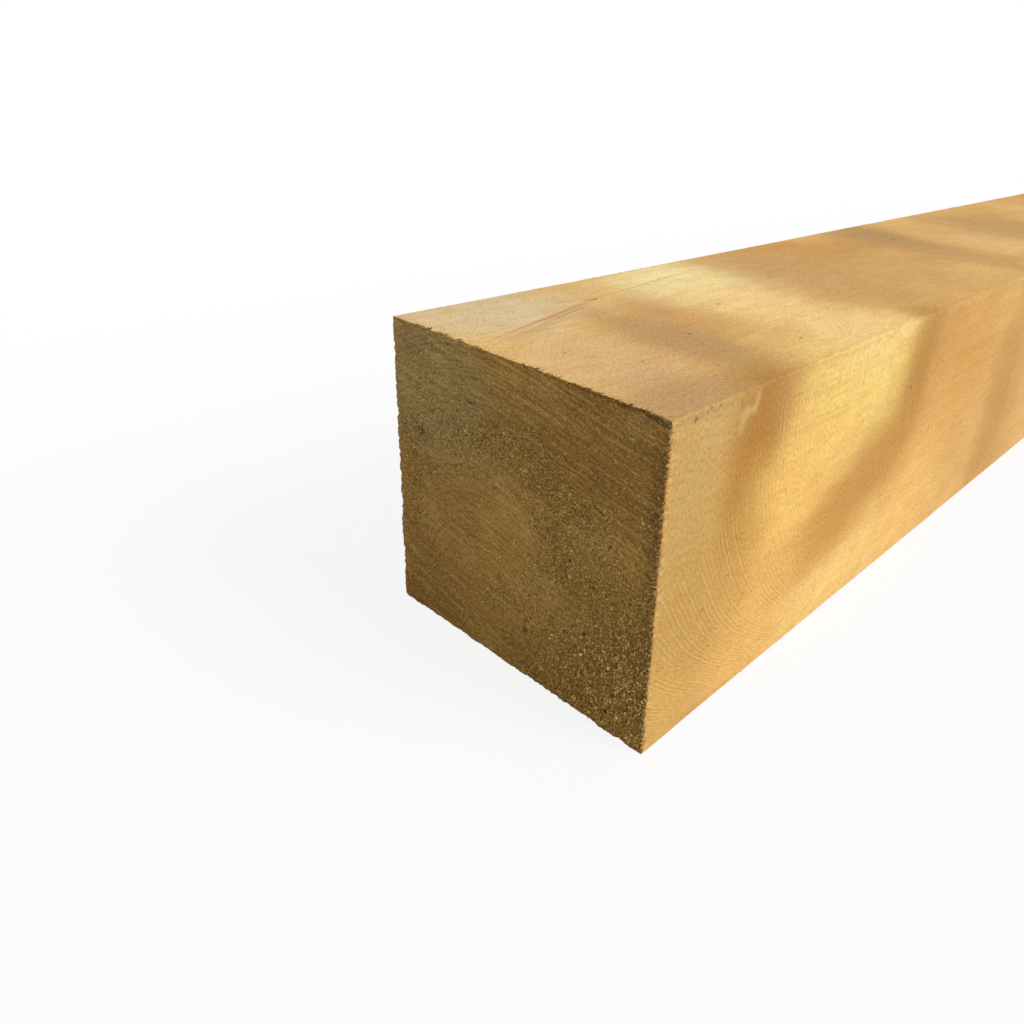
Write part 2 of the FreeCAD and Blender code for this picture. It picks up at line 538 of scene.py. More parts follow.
def post_surface(sizes):
    """The post as points and triangles, and the first triangle of each of its two ends.

    Rings of points run along the post from the chainsawn end to the square one. They are dense
    at the ends and thin between, and a grid closes each end.
    """
    full = np.arange(SIDE_CELLS + 1)
    half = thinned(CORNER_KEPT + (1, 3, 5), 99)
    close = thinned(CORNER_KEPT, 19)
    thin = thinned(CORNER_KEPT, 9)
    far_kept = thinned(CORNER_KEPT + (5,), 39)
    plan = [(place, full) for place in END_RINGS]
    plan += [(place, half) for place in STEP_RINGS]
    plan += [(place, close) for place in long_rings(STEP_RINGS[-1], CLOSE_REACH, CLOSE_SPACING)]
    last = LENGTH - 3 * FAR_RINGS[-1]
    plan += [(place, thin) for place in long_rings(CLOSE_REACH, last, WIDE_SPACING)]
    plan += [(LENGTH - place, far_kept) for place in FAR_RINGS[::-1]]

    points, triangles, rings = [], [], []
    total = 0
    for place, kept in plan:
        ring = ring_points(place, kept, sizes)
        rings.append((np.arange(total, total + len(ring)), outline_places(kept)))
        points.append(ring)
        total += len(ring)
    for near, far in zip(rings, rings[1:]):
        if len(near[0]) == len(far[0]):
            triangles.append(between_rings(near[0], far[0]))
            continue
        thins = len(near[0]) > len(far[0])
        fine, coarse = (near, far) if thins else (far, near)
        beside = np.searchsorted(fine[1], coarse[1])
        triangles.append(between_uneven(fine[0], coarse[0], beside, not thins))
    faces_end = sum(len(part) for part in triangles)

    y, z, near_faces = end_grid(full, rings[0][0], total, sizes)
    points.append(chainsawn_surface(y, z, sizes))
    total += len(y)
    y, z, far_faces = end_grid(far_kept, rings[-1][0], total, sizes)
    points.append(square_surface(y, z))

    triangles += [near_faces, far_faces[:, ::-1]]
    split = faces_end, faces_end + len(near_faces)
    return np.concatenate(points), np.concatenate(triangles), split


# Each patch on the long faces is painted dappled sunlight and shade, partly the wood's own tone:
# distance along the post, place across (0 is the -Y face, 1 the +Y face), height (0 to 1),
# radii in metres, display colour and strength.
FACE_DAPPLE_AND_TONE_PATCHES = [
    (0.030, 0.0, 0.74, (0.040, 0.01, 0.130), (200, 165, 96), 0.85),
    (0.112, 0.0, 0.66, (0.046, 0.03, 0.080), (208, 150, 72), 0.60),
    (0.092, 0.0, 0.80, (0.034, 0.03, 0.110), (170, 118, 42), 0.85),
    (0.215, 0.0, 0.88, (0.095, 0.03, 0.062), (255, 224, 130), 1.00),
    (0.165, 0.0, 0.62, (0.070, 0.03, 0.060), (255, 210, 118), 0.85),
    (0.320, 0.0, 0.74, (0.028, 0.03, 0.110), (182, 132, 62), 0.85),
    (0.270, 0.0, 0.47, (0.065, 0.03, 0.034), (190, 136, 58), 0.80),
    (0.205, 0.0, 0.34, (0.060, 0.03, 0.030), (194, 136, 58), 0.70),
    (0.325, 0.0, 0.48, (0.040, 0.03, 0.050), (200, 148, 72), 0.60),
    (0.350, 0.0, 0.22, (0.075, 0.03, 0.060), (250, 204, 122), 0.80),
    (0.250, 0.0, 0.09, (0.090, 0.03, 0.030), (255, 218, 136), 0.75),
    (0.120, 0.0, 0.18, (0.050, 0.03, 0.050), (240, 186, 98), 0.65),
    (0.040, 0.0, 0.30, (0.050, 0.03, 0.070), (198, 156, 82), 0.80),
    (0.020, 0.0, 0.10, (0.040, 0.03, 0.040), (226, 186, 104), 0.60),
    (0.430, 0.0, 0.70, (0.080, 0.03, 0.090), (222, 166, 88), 0.65),
    (0.560, 0.0, 0.45, (0.050, 0.03, 0.120), (184, 138, 70), 0.65),
    (0.055, 0.88, 1.0, (0.100, 0.050, 0.03), (226, 204, 160), 1.00),
    (0.040, 0.34, 1.0, (0.060, 0.070, 0.03), (222, 182, 134), 0.75),
    (0.112, 0.34, 1.0, (0.032, 0.075, 0.03), (184, 146, 98), 0.85),
    (0.030, 0.08, 1.0, (0.055, 0.028, 0.006), (184, 152, 104), 0.75),
    (0.158, 0.62, 1.0, (0.030, 0.030, 0.03), (202, 158, 104), 0.65),
    (0.245, 0.80, 1.0, (0.075, 0.075, 0.03), (255, 238, 174), 1.00),
    (0.238, 0.40, 1.0, (0.055, 0.085, 0.03), (255, 218, 148), 0.95),
    (0.225, 0.06, 1.0, (0.060, 0.034, 0.03), (255, 220, 146), 0.90),
    (0.350, 0.62, 1.0, (0.070, 0.090, 0.03), (204, 162, 106), 0.75),
    (0.460, 0.30, 1.0, (0.070, 0.070, 0.03), (208, 166, 110), 0.65),
    (0.600, 0.80, 1.0, (0.060, 0.070, 0.03), (166, 132, 86), 0.80),
    (0.580, 0.45, 1.0, (0.045, 0.090, 0.03), (188, 148, 98), 0.65),
    (0.700, 0.45, 1.0, (0.070, 0.060, 0.03), (240, 200, 136), 0.75),
    (0.820, 0.55, 1.0, (0.090, 0.090, 0.03), (178, 140, 88), 0.70),
]


def dapple_and_tone_tint(points, base):
    """Colour and strength of the painted patches of dappled light and shade, partly the wood's own
    tone, at each point of the long faces, as four numbers.

    Each patch fades out with the distance from its middle, measured in its radii and bent by
    noise, and is laid over the patches before it.
    """
    colour = np.tile(np.array(base), (len(points), 1))
    strength = np.zeros(len(points))
    places = (points - LOW) / (HIGH - LOW)
    for seed, (along, across, height, radii, tint, most) in enumerate(FACE_DAPPLE_AND_TONE_PATCHES):
        middle = np.array([along / LENGTH, across, height])
        away = (places - middle) * (HIGH - LOW) / radii
        wander = rough(300 + seed, 2, *(1.3 * away.T))
        distance = np.linalg.norm(away, axis=1) + 0.30 * wander
        share = most * step_up(1.45 - distance, 0.0, 1.25)
        strength = strength + share * (1 - strength)
        part = share / np.maximum(strength, 1e-6)
        colour += (np.array(display(*tint)) - colour) * part[:, None]
    return np.column_stack([colour, strength])


# Meshes


def new_piece(name, points, triangles, materials, of_face=None, values=None):
    """Makes a smooth-shaded mesh object from arrays and puts it on the post's body."""
    mesh = bpy.data.meshes.new(name)
    mesh.vertices.add(len(points))
    mesh.vertices.foreach_set("co", points.astype(np.float32).ravel())
    mesh.loops.add(triangles.size)
    mesh.loops.foreach_set("vertex_index", triangles.astype(np.int32).ravel())
    mesh.polygons.add(len(triangles))
    mesh.polygons.foreach_set("loop_start", np.arange(0, triangles.size, 3, dtype=np.int32))
    for material in materials:
        mesh.materials.append(material)
    if of_face is not None:
        mesh.polygons.foreach_set("material_index", of_face.astype(np.int32))
    for name_of, numbers in (values or {}).items():
        kind, field = ("FLOAT_COLOR", "color") if numbers.ndim == 2 else ("FLOAT", "value")
        attribute = mesh.attributes.new(name_of, kind, "POINT")
        attribute.data.foreach_set(field, numbers.astype(np.float32).ravel())
    mesh.update(calc_edges=True)
    if mesh.validate():
        raise RuntimeError(f"{name} has faces that the mesh can't keep")
    mesh.polygons.foreach_set("use_smooth", np.ones(len(triangles), bool))
    piece = bpy.data.objects.new(name, mesh)
    bpy.context.scene.collection.objects.link(piece)
    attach(piece, BODY)
    return piece


def across_of(directions):
    """Two unit directions square to each given one and to each other."""
    helper = np.where(np.abs(directions[:, 2:]) < 0.8, [[0.0, 0.0, 1.0]], [[0.0, 1.0, 0.0]])
    first = np.cross(directions, helper)
    first /= np.linalg.norm(first, axis=1, keepdims=True)
    return first, np.cross(directions, first)


SLIVER_POINTS, CRUMB_POINTS = 7, 6


def slivers(rng, roots, directions, lengths, widths):
    """Bent pointed fibres: a three-sided foot, a narrower three-sided waist and a tip each.

    The foot's and waist's corners stand at 0, 120 and 240 degrees round the fibre's line, and the
    waist and tip are pushed sideways by a random bend.
    """
    count = len(roots)
    side, up = across_of(directions)
    turn = rng.uniform(0, 2 * np.pi, count)[:, None] + np.array([0, 2, 4]) * np.pi / 3
    spread = side[:, None] * np.cos(turn)[..., None] + up[:, None] * np.sin(turn)[..., None]
    spread *= widths[:, None, None]
    bend = side * rng.normal(0, 0.3, (count, 1)) + up * rng.normal(0, 0.3, (count, 1))
    lengths = lengths[:, None]
    bend *= lengths
    foot = roots[:, None] + spread
    waist = (roots + directions * lengths * 0.55 + bend * 0.3)[:, None] + spread * 0.6
    tip = (roots + directions * lengths + bend)[:, None]
    one = [(0, 2, 1), (3, 6, 5), (5, 6, 4), (4, 6, 3)]
    for k, n in ((0, 1), (1, 2), (2, 0)):
        one += [(k, n, 3 + n), (k, 3 + n, 3 + k)]
    points = np.concatenate([foot, waist, tip], 1).reshape(-1, 3)
    return points, repeated(one, count, SLIVER_POINTS)


def crumbs(rng, middles, directions, sizes_along, sizes_across):
    """Eight-faced crumbs of wood: six corners out from the middle, each at its own distance."""
    count = len(middles)
    side, up = across_of(directions)
    axes = np.stack([directions, side, up], 1)
    reach = np.stack([sizes_along, sizes_across, sizes_across * rng.uniform(0.6, 1.3, count)], 1)
    arms = axes * reach[..., None]
    corners = np.concatenate([arms, -arms], 1) * rng.uniform(0.6, 1.3, (count, 6, 1))
    corners += rng.normal(0, 0.12, corners.shape) * sizes_across[:, None, None]
    one = []
    for a, b, c in itertools.product((0, 3), (1, 4), (2, 5)):
        turns = (a == 3) + (b == 4) + (c == 5)
        one.append((a, b, c) if turns % 2 == 0 else (a, c, b))
    return (middles[:, None] + corners).reshape(-1, 3), repeated(one, count, CRUMB_POINTS)


def repeated(faces, count, points):
    """One fibre's faces repeated for each of count fibres, which have that many points each."""
    return (np.arange(count)[:, None, None] * points + np.array(faces)).reshape(-1, 3)


def loose_piece(name, shape, tones, material):
    """Makes a piece of many loose fibres, held inside the CAD box, with one tone for each."""
    points, faces = shape
    tone = np.repeat(np.clip(tones, 0, 1), len(points) // len(tones))
    points = np.clip(points, LOW + 0.01 * MM, HIGH - 0.01 * MM)
    new_piece(name, points, faces, [material], values={"tone": tone})


# How many places are tried for each one that is wanted.
TRIES = 12


def torn_places(rng, count, least, power):
    """Random places on the chainsawn end, and how coarse the tearing is at each, from 0 to 1.

    A place is kept with a chance that climbs from least, where the wood is sound, to 1 where it
    is torn, with that power of the tearing. The coarsest ones are in the lower -Y corner.
    """
    y = rng.uniform(LOW[1] + 1 * MM, HIGH[1] - 2 * MM, count * TRIES)
    z = rng.uniform(LOW[2] + 4 * MM, HIGH[2] - 1 * MM, count * TRIES)
    chance = least + (1 - least) * torn_share(y, z) ** power
    chosen = np.flatnonzero(rng.uniform(0, 1, len(y)) < chance)[:count]
    y, z = y[chosen], z[chosen]
    across, down = end_shares(y, z)
    return y, z, step_up(across, 0.5, 0.9) * step_up(down, 0.45, 0.8)


def unit(vectors):
    """Vectors scaled to length one."""
    return vectors / np.linalg.norm(vectors, axis=1, keepdims=True)


# Shader helpers


# A Mix node's sockets for colours, by number, because its other sockets have the same names.
MIX_SHARE, MIX_FIRST, MIX_SECOND, MIX_COLOUR = 0, 6, 7, 2


class Graph:
    """Adds nodes to one node tree. Any input takes a number, a tuple or another node's output."""

    def __init__(self, tree):
        self.tree = tree

    def feed(self, socket, value):
        """Links an output to the socket, or sets the socket's own value."""
        if isinstance(value, bpy.types.NodeSocket):
            self.tree.links.new(value, socket)
        else:
            socket.default_value = value

    def add(self, kind, inputs=None, **settings):
        """New node with its settings and inputs."""
        node = self.tree.nodes.new(kind)
        for name, value in settings.items():
            setattr(node, name, value)
        for name, value in (inputs or {}).items():
            self.feed(node.inputs[name], value)
        return node

    def math(self, operation, *values):
        """Result of a Math node."""
        return self.add("ShaderNodeMath", dict(enumerate(values)), operation=operation).outputs[0]

    def times(self, first, second, more=None):
        """The two values multiplied, and one more added to that where there is one."""
        if more is None:
            return self.math("MULTIPLY", first, second)
        return self.math("MULTIPLY_ADD", first, second, more)

    def less(self, first, second):
        """The first value less the second."""
        return self.math("SUBTRACT", first, second)

    def vector(self, operation, *values):
        """Result of a Vector Math node."""
        node = self.add("ShaderNodeVectorMath", dict(enumerate(values)), operation=operation)
        return node.outputs["Value" if operation == "LENGTH" else "Vector"]

    def parts(self, place):
        """X, Y and Z of a place or a direction."""
        return self.add("ShaderNodeSeparateXYZ", {"Vector": place}).outputs

    def band(self, value, low, high, start=0.0, stop=1.0):
        """Smooth step from start, where the value is low, to stop, where it is high."""
        inputs = dict(enumerate((value, low, high, start, stop)))
        return self.add("ShaderNodeMapRange", inputs, interpolation_type="SMOOTHSTEP").outputs[0]

    def noise(self, place, detail=2.0, roughness=0.5, distortion=0.0):
        """Noise from about 0 to 1 at scale 1: the place sets its size."""
        inputs = {
            "Vector": place,
            "Scale": 1.0,
            "Detail": detail,
            "Roughness": roughness,
            "Distortion": distortion,
        }
        return self.add("ShaderNodeTexNoise", inputs).outputs["Fac"]

    def scaled(self, place, scale, turn=(0.0, 0.0, 0.0)):
        """The place turned, then scaled along each axis."""
        inputs = {"Vector": place, "Rotation": turn}
        turned = self.add("ShaderNodeMapping", inputs).outputs[0]
        return self.vector("MULTIPLY", turned, scale)

    def grain(self, place, scale, detail=2.0, roughness=0.5, distortion=0.0, turn=0.0):
        """Noise at the place scaled along each axis, after a turn about X."""
        local = self.scaled(place, scale, (turn, 0.0, 0.0))
        return self.noise(local, detail, roughness, distortion)

    def mix(self, share, first, second, blend="MIX"):
        """Blend of two colours by a share from 0 to 1."""
        inputs = {MIX_SHARE: share, MIX_FIRST: opaque(first), MIX_SECOND: opaque(second)}
        node = self.add("ShaderNodeMix", inputs, data_type="RGBA", blend_type=blend)
        return node.outputs[MIX_COLOUR]

    def lay(self, colour, tint, value, low, high, most, where=None):
        """The colour with a tint laid over it, up to most, as the value goes from low to high."""
        share = self.band(value, low, high, 0.0, most)
        if where is not None:
            share = self.times(share, where)
        return self.mix(share, colour, tint)

    def group(self, name, **inputs):
        """A shared node group, with its inputs given by name, spaces written as underscores."""
        node = self.add("ShaderNodeGroup", node_tree=shared_group(name))
        for socket, value in inputs.items():
            self.feed(node.inputs[socket.replace("_", " ")], value)
        return node.outputs


def opaque(colour):
    """A colour as four numbers; an output passes through."""
    if isinstance(colour, bpy.types.NodeSocket):
        return colour
    return (*tuple(colour)[:3], 1.0)


def new_group(name, inputs, outputs):
    """Empty shader node group: its graph, its inputs and its output node. Outputs are numbers."""
    tree = bpy.data.node_groups.new(name, "ShaderNodeTree")
    for socket, kind in inputs.items():
        tree.interface.new_socket(socket, in_out="INPUT", socket_type=f"NodeSocket{kind}")
    for socket in outputs:
        tree.interface.new_socket(socket, in_out="OUTPUT", socket_type="NodeSocketFloat")
    graph = Graph(tree)
    return graph, graph.add("NodeGroupInput").outputs, graph.add("NodeGroupOutput").inputs


# Turn about X that brings the chainsaw's sweeps level: they fall towards the -Y side.
SWEEP_TURN = -0.18

# Distances along the post in which the pith wanders once from side to side, and up and down.
PITH_SWING, PITH_RISE = 1.7, 2.9


def end_place(x, across, down):
    """Place at that X, given across from the +Y edge and down from the top, each 0 to 1."""
    return float(x), float(HIGH[1] - across * WIDTH), float(HIGH[2] - down * DEPTH)


def growth_rings_group():
    """Growth rings round a pith that wanders as it runs along the post.

    The distance from the pith, bent a little by noise, is divided by the ring width, and noise
    along it makes some rings wider than others. The fractional part climbs through each ring, so
    the late wood darkens slowly and ends sharply.
    """
    inputs = {"Place": "Vector", "Ring Width": "Float", "Wobble": "Float"}
    graph, given, result = new_group("growth_rings", inputs, ["Late Wood", "Ring Tone"])
    parts = graph.parts(given["Place"])
    along = graph.less(parts[0], float(LOW[0]))
    swing = graph.math("SINE", graph.times(along, 2 * math.pi / PITH_SWING))
    rise = graph.math("SINE", graph.times(along, 2 * math.pi / PITH_RISE))
    _, pith_y, pith_z = end_place(LOW[0], PITH_ACROSS, PITH_DOWN)
    side = graph.less(parts[1], graph.times(swing, 0.017, pith_y))
    height = graph.less(parts[2], graph.times(rise, 0.004, pith_z))
    flat = graph.add("ShaderNodeCombineXYZ", {"Y": side, "Z": height}).outputs[0]
    radius = graph.vector("LENGTH", flat)
    wide = graph.grain(given["Place"], (2.6, 17.0, 17.0), 2.0)
    fine = graph.grain(given["Place"], (11.0, 90.0, 90.0), 2.0)
    bent = graph.times(graph.less(wide, 0.5), given["Wobble"], radius)
    bent = graph.times(graph.less(fine, 0.5), 0.0022, bent)
    years = graph.add("ShaderNodeCombineXYZ", {"X": graph.times(bent, 75.0)}).outputs[0]
    spread = graph.less(graph.noise(years, 2.0), 0.5)
    count = graph.times(spread, 3.4, graph.math("DIVIDE", bent, given["Ring Width"]))
    share = graph.math("FRACT", count)
    late = graph.times(graph.band(share, 0.45, 0.93), graph.band(share, 1.0, 0.93))
    year = {"W": graph.math("FLOOR", count)}
    tone = graph.add("ShaderNodeTexWhiteNoise", year, noise_dimensions="1D")
    graph.feed(result["Late Wood"], late)
    graph.feed(result["Ring Tone"], tone.outputs["Value"])
    return graph.tree


def long_fibres_group():
    """Fibres along the post: wide soft streaks, fine streaks and short dark pores."""
    outputs = ["Streak", "Fine", "Pores"]
    graph, given, result = new_group("long_fibres", {"Place": "Vector"}, outputs)
    streak = graph.grain(given["Place"], (5.0, 210.0, 210.0), 3.0, 0.55)
    fine = graph.grain(given["Place"], (70.0, 1500.0, 1500.0), 2.0, 0.6)
    dashes = graph.grain(given["Place"], (170.0, 2300.0, 2300.0), 1.0)
    graph.feed(result["Streak"], streak)
    graph.feed(result["Fine"], fine)
    graph.feed(result["Pores"], graph.band(dashes, 0.64, 0.74))
    return graph.tree


def saw_marks_group():
    """Saw marks on the long faces: arcs of a wide circle, one every pitch along the post.

    On a side face the arc starts square to the top arris, and on the top and bottom faces it
    starts at the -Y arris. At a distance a from that arris it has run on by R - sqrt(R^2 - a^2).
    The mark is the sine of the place along the post, less that run, in pitches.
    """
    inputs = {"Place": "Vector", "Normal": "Vector", "Pitch": "Float", "Radius": "Float"}
    graph, given, result = new_group("saw_marks", inputs, ["Mark", "Nap", "Flat"])
    place = graph.parts(given["Place"])
    normal = graph.parts(given["Normal"])
    flat = graph.math("GREATER_THAN", graph.math("ABSOLUTE", normal[2]), 0.7)
    down = graph.less(float(HIGH[2]), place[2])
    over = graph.less(place[1], float(LOW[1]))
    across = graph.times(graph.less(over, down), flat, down)
    square = graph.times(given["Radius"], given["Radius"])
    rest = graph.less(square, graph.times(across, across))
    run = graph.less(given["Radius"], graph.math("SQRT", graph.math("MAXIMUM", rest, 0.0)))
    bend = graph.grain(given["Place"], (14.0, 22.0, 22.0), 2.0)
    start = graph.less(place[0], run)
    start = graph.times(graph.less(bend, 0.5), 0.009, start)
    count = graph.math("DIVIDE", start, given["Pitch"])
    wave = graph.math("SINE", graph.times(count, 2 * math.pi))
    local = graph.add("ShaderNodeCombineXYZ", {"X": start, "Y": across, "Z": flat}).outputs[0]
    stroke = graph.grain(local, (190.0, 16.0, 5.0), 1.0)
    wave = graph.times(wave, graph.band(stroke, 0.36, 0.66))
    patches = graph.grain(given["Place"], (8.0, 13.0, 13.0), 1.0)
    wave = graph.times(wave, graph.band(patches, 0.36, 0.60, 0.15, 1.0))
    nap = graph.grain(local, (820.0, 330.0, 5.0), 4.0, 0.72)
    graph.feed(result["Mark"], wave)
    graph.feed(result["Nap"], nap)
    graph.feed(result["Flat"], flat)
    return graph.tree


def soft_patch_group():
    """Soft-edged patch: 1 within it and 0 beyond its radii, with an outline that wanders.

    The distance from the patch's middle is measured in radii along each axis, and noise is added
    before it is turned into a falling smooth step.
    """
    inputs = {"Place": "Vector", "Middle": "Vector", "Radii": "Vector", "Unevenness": "Float"}
    graph, given, result = new_group("soft_patch", inputs, ["Share"])
    away = graph.vector("SUBTRACT", given["Place"], given["Middle"])
    distance = graph.vector("LENGTH", graph.vector("DIVIDE", away, given["Radii"]))
    local = graph.vector("DIVIDE", given["Place"], given["Radii"])
    wander = graph.less(graph.grain(local, (1.6, 1.6, 1.6), 2.0), 0.5)
    distance = graph.times(wander, given["Unevenness"], distance)
    graph.feed(result["Share"], graph.band(distance, 1.2, 0.4))
    return graph.tree


def torn_fuzz_group():
    """Torn end grain as short strokes along the saw's sweep: a height and pale grit, 0 to 1.

    Two noises drawn out along the sweep are added, and a finer one picks out the grit.
    """
    inputs = {"Place": "Vector", "Size": "Float"}
    graph, given, result = new_group("torn_fuzz", inputs, ["Height", "Grit"])
    place = graph.add("ShaderNodeVectorMath", {0: given["Place"]}, operation="SCALE")
    graph.feed(place.inputs["Scale"], graph.math("DIVIDE", 1.0, given["Size"]))
    place = place.outputs[0]
    steep = SWEEP_TURN + 1.2
    strokes = graph.grain(place, (1.0, 0.62, 1.5), 4.0, 0.66, 0.6, SWEEP_TURN)
    crossed = graph.grain(place, (1.0, 0.8, 1.6), 3.0, 0.66, 0.4, steep)
    grit = graph.grain(place, (3.1, 2.0, 3.3), 2.0, 0.7, 0.0, steep)
    graph.feed(result["Height"], graph.times(strokes, 0.6, graph.times(crossed, 0.4)))
    graph.feed(result["Grit"], grit)
    return graph.tree


SHARED_GROUPS = {
    "growth_rings": growth_rings_group,
    "long_fibres": long_fibres_group,
    "saw_marks": saw_marks_group,
    "soft_patch": soft_patch_group,
    "torn_fuzz": torn_fuzz_group,
}


def shared_group(name):
    """The node group of that name, built when a material first asks for it."""
    return bpy.data.node_groups.get(name) or SHARED_GROUPS[name]()


def new_material(name):
    """Empty material: its graph and the place on the piece."""
    material = bpy.data.materials.new(name)
    material.use_nodes = True
    material.node_tree.nodes.clear()
    graph = Graph(material.node_tree)
    return material, graph, graph.add("ShaderNodeTexCoord").outputs["Object"]


def finish_wood(graph, colour, roughness, height, depth, specular=0.25):
    """Ends a wood material: dull and bare, with a bump of that depth in metres."""
    bump = graph.add("ShaderNodeBump", {"Strength": 1.0, "Distance": depth, "Height": height})
    inputs = {
        "Base Color": colour,
        "Roughness": roughness,
        "Normal": bump.outputs[0],
        "Specular IOR Level": specular,
    }
    shader = graph.add("ShaderNodeBsdfPrincipled", inputs)
    graph.add("ShaderNodeOutputMaterial", {"Surface": shader.outputs[0]})


# Each darker growth line on the top: distance along the post, place across (1 is the +Y face),
# turn from the post's line in degrees, half length and half width in metres, colour, strength.
FACE_LINES = [
    (0.083, 0.735, 12.0, 0.070, 0.0022, (196, 138, 80), 0.65),
    (0.092, 0.722, 12.5, 0.045, 0.0014, (190, 132, 76), 0.55),
    (0.060, 0.672, 9.0, 0.050, 0.0030, (208, 158, 104), 0.50),
    (0.210, 0.835, 6.0, 0.080, 0.0010, (196, 144, 88), 0.45),
    (0.080, 0.640, -7.0, 0.060, 0.0010, (196, 144, 90), 0.40),
    (0.420, 0.700, 3.0, 0.110, 0.0012, (190, 138, 84), 0.45),
]

# Each knot or stain, as above: tiny dark pin knots, specks, and one pale curl with its stain.
FACE_SPOTS = [
    (0.140, 0.795, 1.0, (0.0034, 0.0014, 0.004), (120, 76, 40), 0.90),
    (0.136, 0.800, 1.0, (0.0090, 0.0030, 0.004), (196, 138, 84), 0.55),
    (0.127, 0.375, 1.0, (0.0018, 0.0014, 0.004), (128, 84, 48), 0.85),
    (0.060, 0.300, 1.0, (0.0014, 0.0012, 0.004), (134, 92, 56), 0.80),
    (0.035, 0.470, 1.0, (0.0012, 0.0011, 0.004), (138, 96, 60), 0.75),
    (0.090, 0.160, 1.0, (0.0013, 0.0012, 0.004), (138, 96, 60), 0.75),
    (0.180, 0.150, 1.0, (0.0016, 0.0012, 0.004), (134, 92, 56), 0.80),
    (0.205, 0.520, 1.0, (0.0017, 0.0013, 0.004), (130, 88, 52), 0.75),
    (0.320, 0.640, 1.0, (0.0022, 0.0014, 0.004), (128, 86, 50), 0.75),
    (0.600, 0.720, 1.0, (0.0040, 0.0020, 0.004), (124, 82, 46), 0.85),
    (0.068, 0.0, 0.970, (0.0080, 0.004, 0.0060), (196, 134, 62), 0.34),
    (0.064, 0.0, 0.962, (0.0020, 0.004, 0.0022), (164, 96, 30), 0.35),
    (0.070, 0.0, 0.932, (0.0058, 0.004, 0.0048), (216, 190, 132), 0.42),
    (0.0795, 0.0, 0.958, (0.0028, 0.004, 0.0080), (222, 188, 124), 0.42),
    (0.0765, 0.0, 0.936, (0.0038, 0.004, 0.0032), (222, 194, 130), 0.40),
    (0.067, 0.0, 0.900, (0.0044, 0.004, 0.0056), (206, 174, 108), 0.50),
    (0.021, 0.0, 0.978, (0.0008, 0.003, 0.0024), (104, 70, 30), 0.75),
    (0.022, 0.0, 0.978, (0.0020, 0.003, 0.0007), (116, 78, 34), 0.60),
    (0.031, 0.0, 0.982, (0.0008, 0.003, 0.0014), (128, 88, 40), 0.65),
    (0.034, 0.0, 0.992, (0.0008, 0.003, 0.0015), (116, 78, 34), 0.80),
    (0.042, 0.0, 0.988, (0.0014, 0.003, 0.0007), (126, 84, 38), 0.80),
    (0.307, 0.0, 0.741, (0.0022, 0.004, 0.0018), (150, 98, 42), 0.85),
    (0.311, 0.0, 0.735, (0.0052, 0.004, 0.0050), (206, 150, 80), 0.50),
    (0.900, 0.0, 0.400, (0.0032, 0.004, 0.0028), (132, 86, 46), 0.85),
    (1.450, 1.0, 0.550, (0.0046, 0.004, 0.0034), (122, 78, 42), 0.90),
    (0.700, 1.0, 0.300, (0.0026, 0.004, 0.0022), (132, 86, 46), 0.85),
    (1.900, 0.350, 1.0, (0.0042, 0.003, 0.004), (124, 82, 46), 0.85),
]


def spot(graph, place, colour, middle, radii, unevenness, tint, strength):
    """The colour with one soft patch of the tint laid over it."""
    share = graph.group(
        "soft_patch", Place=place, Middle=middle, Radii=radii, Unevenness=unevenness
    )
    return graph.mix(graph.times(share["Share"], strength), colour, display(*tint))


def face_place(along, across, height):
    """Place at that distance along the post and at those shares of its width and depth."""
    shares = np.array([along / LENGTH, across, height])
    return tuple(float(part) for part in LOW + shares * (HIGH - LOW))


def face_spots(graph, place, colour):
    """The colour with each knot and stain of the long faces laid over it in turn."""
    for along, across, height, radii, tint, strength in FACE_SPOTS:
        middle = face_place(along, across, height)
        colour = spot(graph, place, colour, middle, radii, 0.8, tint, strength)
    return colour


def face_lines(graph, place, colour):
    """The colour with each thin growth line of the top face laid over it in turn."""
    for along, across, turn, length, width, tint, strength in FACE_LINES:
        local = graph.vector("SUBTRACT", place, face_place(along, across, 1.0))
        local = graph.scaled(local, (1.0, 1.0, 1.0), (0.0, 0.0, -math.radians(turn)))
        radii = (length, width, 4 * MM)
        colour = spot(graph, local, colour, (0, 0, 0), radii, 1.1, tint, strength)
    return colour


